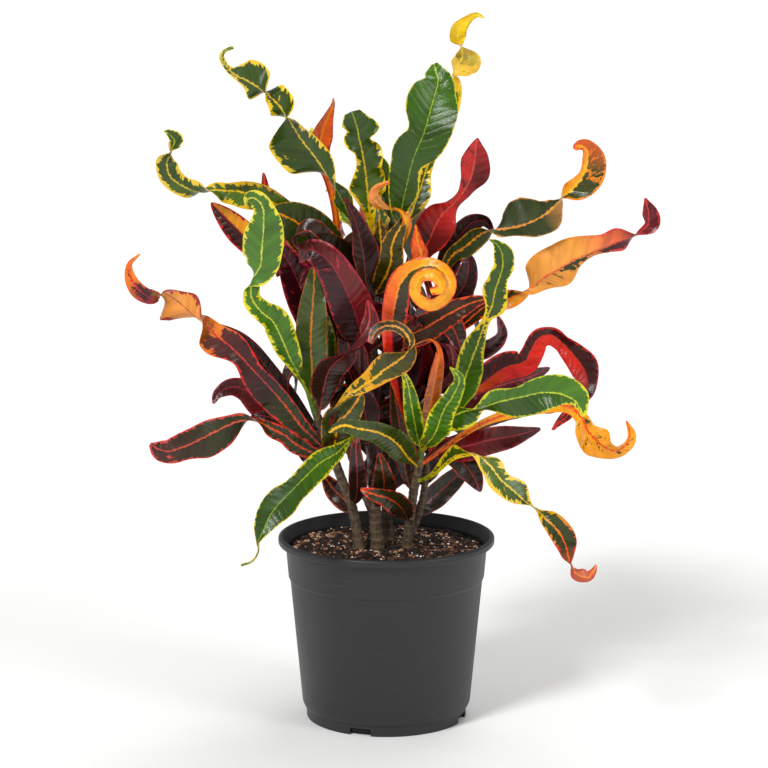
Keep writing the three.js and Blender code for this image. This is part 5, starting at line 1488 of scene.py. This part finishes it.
class StemSizes(PropertyGroup):
    sides: IntProperty(name="Sides", description="Points round a stem", default=20, min=6, max=48)
    scar_spacing: length("Scar spacing", "Distance between old leaf scars", 8.5, 2, 50)
    scar_height: length("Scar height", "How far a scar stands out", 0.55, 0, 3)
    bark: length("Bark relief", "Depth of the bark's unevenness", 0.9, 0, 4)


class LeafSizes(PropertyGroup):
    step: length("Step", "Distance between sections along a leaf", 1.8, 0.8, 10)
    loop: IntProperty(name="Loop points", description="Points round a section of a leaf, an even number",
                      default=24, min=8, max=64)
    fold: FloatProperty(name="Fold", description="How far each half of a leaf is lifted from its rib",
                        default=math.radians(FOLD_ANGLE), min=0.0, max=1.0, subtype="ANGLE")
    rib: length("Rib thickness", "Thickness of a leaf at its midrib", 1.6, 0.5, 4)
    edge: length("Edge thickness", "Thickness of a leaf away from its midrib", 0.7, 0.3, 2)
    stalk: length("Stalk thickness", "Thickness of a leaf's stalk at the stem", 3.2, 1, 8)
    vein_spacing: length("Vein spacing", "Distance between side veins along a leaf", VEIN_SPACING, 2, 20)
    vein_relief: length("Vein relief", "How far the blade swells between side veins", 2.6, 0, 10)
    ripple: length("Ripple", "Uneven waviness of the edges", 6, 0, 20)
    inner: IntProperty(name="Inner leaves", description="Shaded leaves between the stems", default=34,
                       min=0, max=100)
    seed: IntProperty(name="Seed", description="Seed of the inner leaves", default=5, min=0)


class StageSizes(PropertyGroup):
    floor: FloatProperty(name="Floor", description="Half width of the floor", default=40.0, min=1.0,
                         max=100.0, unit="LENGTH")
    key: FloatProperty(name="Key light", description="Strength of the key light, from the upper left",
                       default=1.9, min=0.0, max=20.0)
    fill: FloatProperty(name="Fill light", description="Strength of the fill light, from the right",
                        default=0.8, min=0.0, max=20.0)
    air: FloatProperty(name="Room light", description="Strength of the even light of the room",
                       default=0.4, min=0.0, max=5.0)


# ---- the pieces ----


class CROTON_OT_pot(Operator):
    """Adds the grower's pot"""

    bl_idname = "croton.add_pot"
    bl_label = "Pot"

    def execute(self, context):
        sizes = context.scene.croton_pot
        pot = pot_piece(sizes)
        pot.data.materials.clear()
        pot.data.materials.append(pot_material(sizes.colour))
        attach(pot, ROOT_BODY)
        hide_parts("pot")
        return {"FINISHED"}


class CROTON_OT_mix(Operator):
    """Adds the potting mix with its loose top"""

    bl_idname = "croton.add_mix"
    bl_label = "Potting mix"

    def execute(self, context):
        sizes = context.scene.croton_mix
        mix = grow("potting_mix_top", mix_body(), mix_tree(), {
            "Chip Size": sizes.chip, "Chip Spacing": sizes.chip_spacing, "Crumb Size": sizes.crumb,
            "Crumb Spacing": sizes.crumb_spacing, "Seed": sizes.seed, "Material": mix_material(),
        })
        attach(mix, ROOT_BODY)
        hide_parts("potting_mix")
        return {"FINISHED"}


class CROTON_OT_stems(Operator):
    """Adds the woody stems of the plants"""

    bl_idname = "croton.add_stems"
    bl_label = "Stems"

    def execute(self, context):
        sizes = context.scene.croton_stems
        tree, bark = stem_tree(), bark_material()
        for plant in PLANTS:
            own = [stem for stem in STEMS.values() if stem["plant"] == plant]
            name = f"{plant}_stems"
            stems = grow(name, stem_lines(name, own), tree, {
                "Sides": sizes.sides, "Scar Spacing": sizes.scar_spacing,
                "Scar Height": sizes.scar_height, "Bark Relief": sizes.bark, "Material": bark,
            })
            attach(stems, ROOT_BODY)
            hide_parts(f"{plant}_plant")
        return {"FINISHED"}


class CROTON_OT_leaves(Operator):
    """Adds the leaves, one piece for each stem's older and young ones"""

    bl_idname = "croton.add_leaves"
    bl_label = "Leaves"

    def execute(self, context):
        sizes = context.scene.croton_leaves
        tree = blade_tree()
        finish = {
            False: leaf_material("Mature croton leaf", MATURE_GLOSS),
            True: leaf_material("Young croton leaf", YOUNG_GLOSS),
        }
        foliage = [*map(rooted, LEAVES), *(turned(*row) for row in TURNED_LEAVES)]
        foliage += inner_leaves(sizes.inner, sizes.seed)
        foliage = [dict(leaf, seed=float(number)) for number, leaf in enumerate(foliage)]
        for stem, young in sorted({(leaf["stem"], leaf["young"]) for leaf in foliage}):
            own = [leaf for leaf in foliage if (leaf["stem"], leaf["young"]) == (stem, young)]
            name = f"{stem}_{'young' if young else 'older'}_leaves"
            leaves = grow(name, rib_lines(name, own), tree, {
                "Loop Points": sizes.loop, "Fold": sizes.fold, "Rib Thickness": sizes.rib,
                "Edge Thickness": sizes.edge, "Stalk Thickness": sizes.stalk,
                "Vein Spacing": sizes.vein_spacing, "Vein Relief": sizes.vein_relief,
                "Ripple": sizes.ripple, "Material": finish[young],
            })
            for key in LEAF_KEYS:
                leaves.data.attributes.remove(leaves.data.attributes[key])
            plant = STEMS[stem]["plant"]
            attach(leaves, ROOT_BODY)
            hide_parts(f"{plant}_young_shoot" if young else f"{plant}_plant")
        return {"FINISHED"}


class CROTON_OT_stage(Operator):
    """Adds the floor, the lights and the camera"""

    bl_idname = "croton.add_stage"
    bl_label = "Stage"

    def execute(self, context):
        sizes = context.scene.croton_stage
        scene = context.scene
        half = sizes.floor
        corners = [(-half, -half, 0), (half, -half, 0), (half, half, 0), (-half, half, 0)]
        floor = bpy.data.objects.new("floor", mesh_from("floor", corners, [(0, 1, 2, 3)]))
        scene.collection.objects.link(floor)
        material, tree = new_material("Matt white paper")
        place = add(tree, "ShaderNodeTexCoord").node.outputs["Object"]
        tooth = add(tree, NOISE, {"Vector": place, "Scale": 3.0, "Detail": 2.0})
        colour = add(tree, BLEND, {0: tooth, 6: linear("#f6f6f5"), 7: linear("#fbfbfa")})
        end_material(tree, add(tree, SHADER, {"Base Color": colour, "Roughness": 0.9}))
        floor.data.materials.append(material)
        # Wide far lights, so that the floor is evenly lit out to its edge. Each has a strength, how
        # many degrees wide it looks and where it stands.
        lights = (
            ("key", sizes.key, 14, (-1.5, -2.0, 2.2)),
            ("fill", sizes.fill, 22, (2.2, -1.6, 1.2)),
            ("top", sizes.fill, 22, (0.4, 0.8, 2.4)),
        )
        for name, power, spread, place in lights:
            light = bpy.data.lights.new(name, "SUN")
            light.energy, light.angle = power, math.radians(spread)
            lamp = bpy.data.objects.new(name, light)
            lamp.location = place
            lamp.rotation_euler = Vector(place).to_track_quat("Z", "Y").to_euler()
            scene.collection.objects.link(lamp)
        world = bpy.data.worlds.new("Studio")
        world.use_nodes = True
        world.node_tree.nodes.clear()
        air = add(world.node_tree, "ShaderNodeBackground", {
            "Color": (1.0, 1.0, 1.0, 1.0), "Strength": sizes.air,
        })
        add(world.node_tree, "ShaderNodeOutputWorld", {"Surface": air})
        scene.world = world
        view = bpy.data.cameras.new("camera")
        view.sensor_width = CAMERA_SENSOR
        view.lens = CAMERA_LENS
        camera = bpy.data.objects.new("camera", view)
        camera.location = CAMERA_PLACE
        camera.rotation_euler = (math.radians(90 - CAMERA_PITCH), 0, 0)
        scene.collection.objects.link(camera)
        scene.camera = camera
        scene.view_settings.view_transform = "Standard"
        return {"FINISHED"}


class CROTON_PT_panel(Panel):
    """Lists the pieces of the potted croton and their sizes"""

    bl_idname = "CROTON_PT_panel"
    bl_label = "Potted croton"
    bl_space_type = "VIEW_3D"
    bl_region_type = "UI"
    bl_category = "Croton"

    def draw(self, context):
        for operator, group in PIECES:
            box = self.layout.box()
            box.operator(operator.bl_idname)
            for size in getattr(context.scene, group).bl_rna.properties.keys():
                if size not in ("rna_type", "name"):
                    box.prop(getattr(context.scene, group), size)


PIECES = (
    (CROTON_OT_stage, "croton_stage"),
    (CROTON_OT_pot, "croton_pot"),
    (CROTON_OT_mix, "croton_mix"),
    (CROTON_OT_stems, "croton_stems"),
    (CROTON_OT_leaves, "croton_leaves"),
)
GROUPS = {
    "croton_stage": StageSizes,
    "croton_pot": PotSizes,
    "croton_mix": MixSizes,
    "croton_stems": StemSizes,
    "croton_leaves": LeafSizes,
}


def register():
    for group, kind in GROUPS.items():
        bpy.utils.register_class(kind)
        setattr(bpy.types.Scene, group, PointerProperty(type=kind))
    for operator, _ in PIECES:
        bpy.utils.register_class(operator)
    bpy.utils.register_class(CROTON_PT_panel)


def unregister():
    bpy.utils.unregister_class(CROTON_PT_panel)
    for operator, _ in reversed(PIECES):
        bpy.utils.unregister_class(operator)
    for group, kind in reversed(GROUPS.items()):
        delattr(bpy.types.Scene, group)
        bpy.utils.unregister_class(kind)


def main():
    register()
    for operator, _ in PIECES:
        family, name = operator.bl_idname.split(".")
        getattr(getattr(bpy.ops, family), name)()
    bpy.context.view_layer.update()


if __name__ == "__main__":
    main()
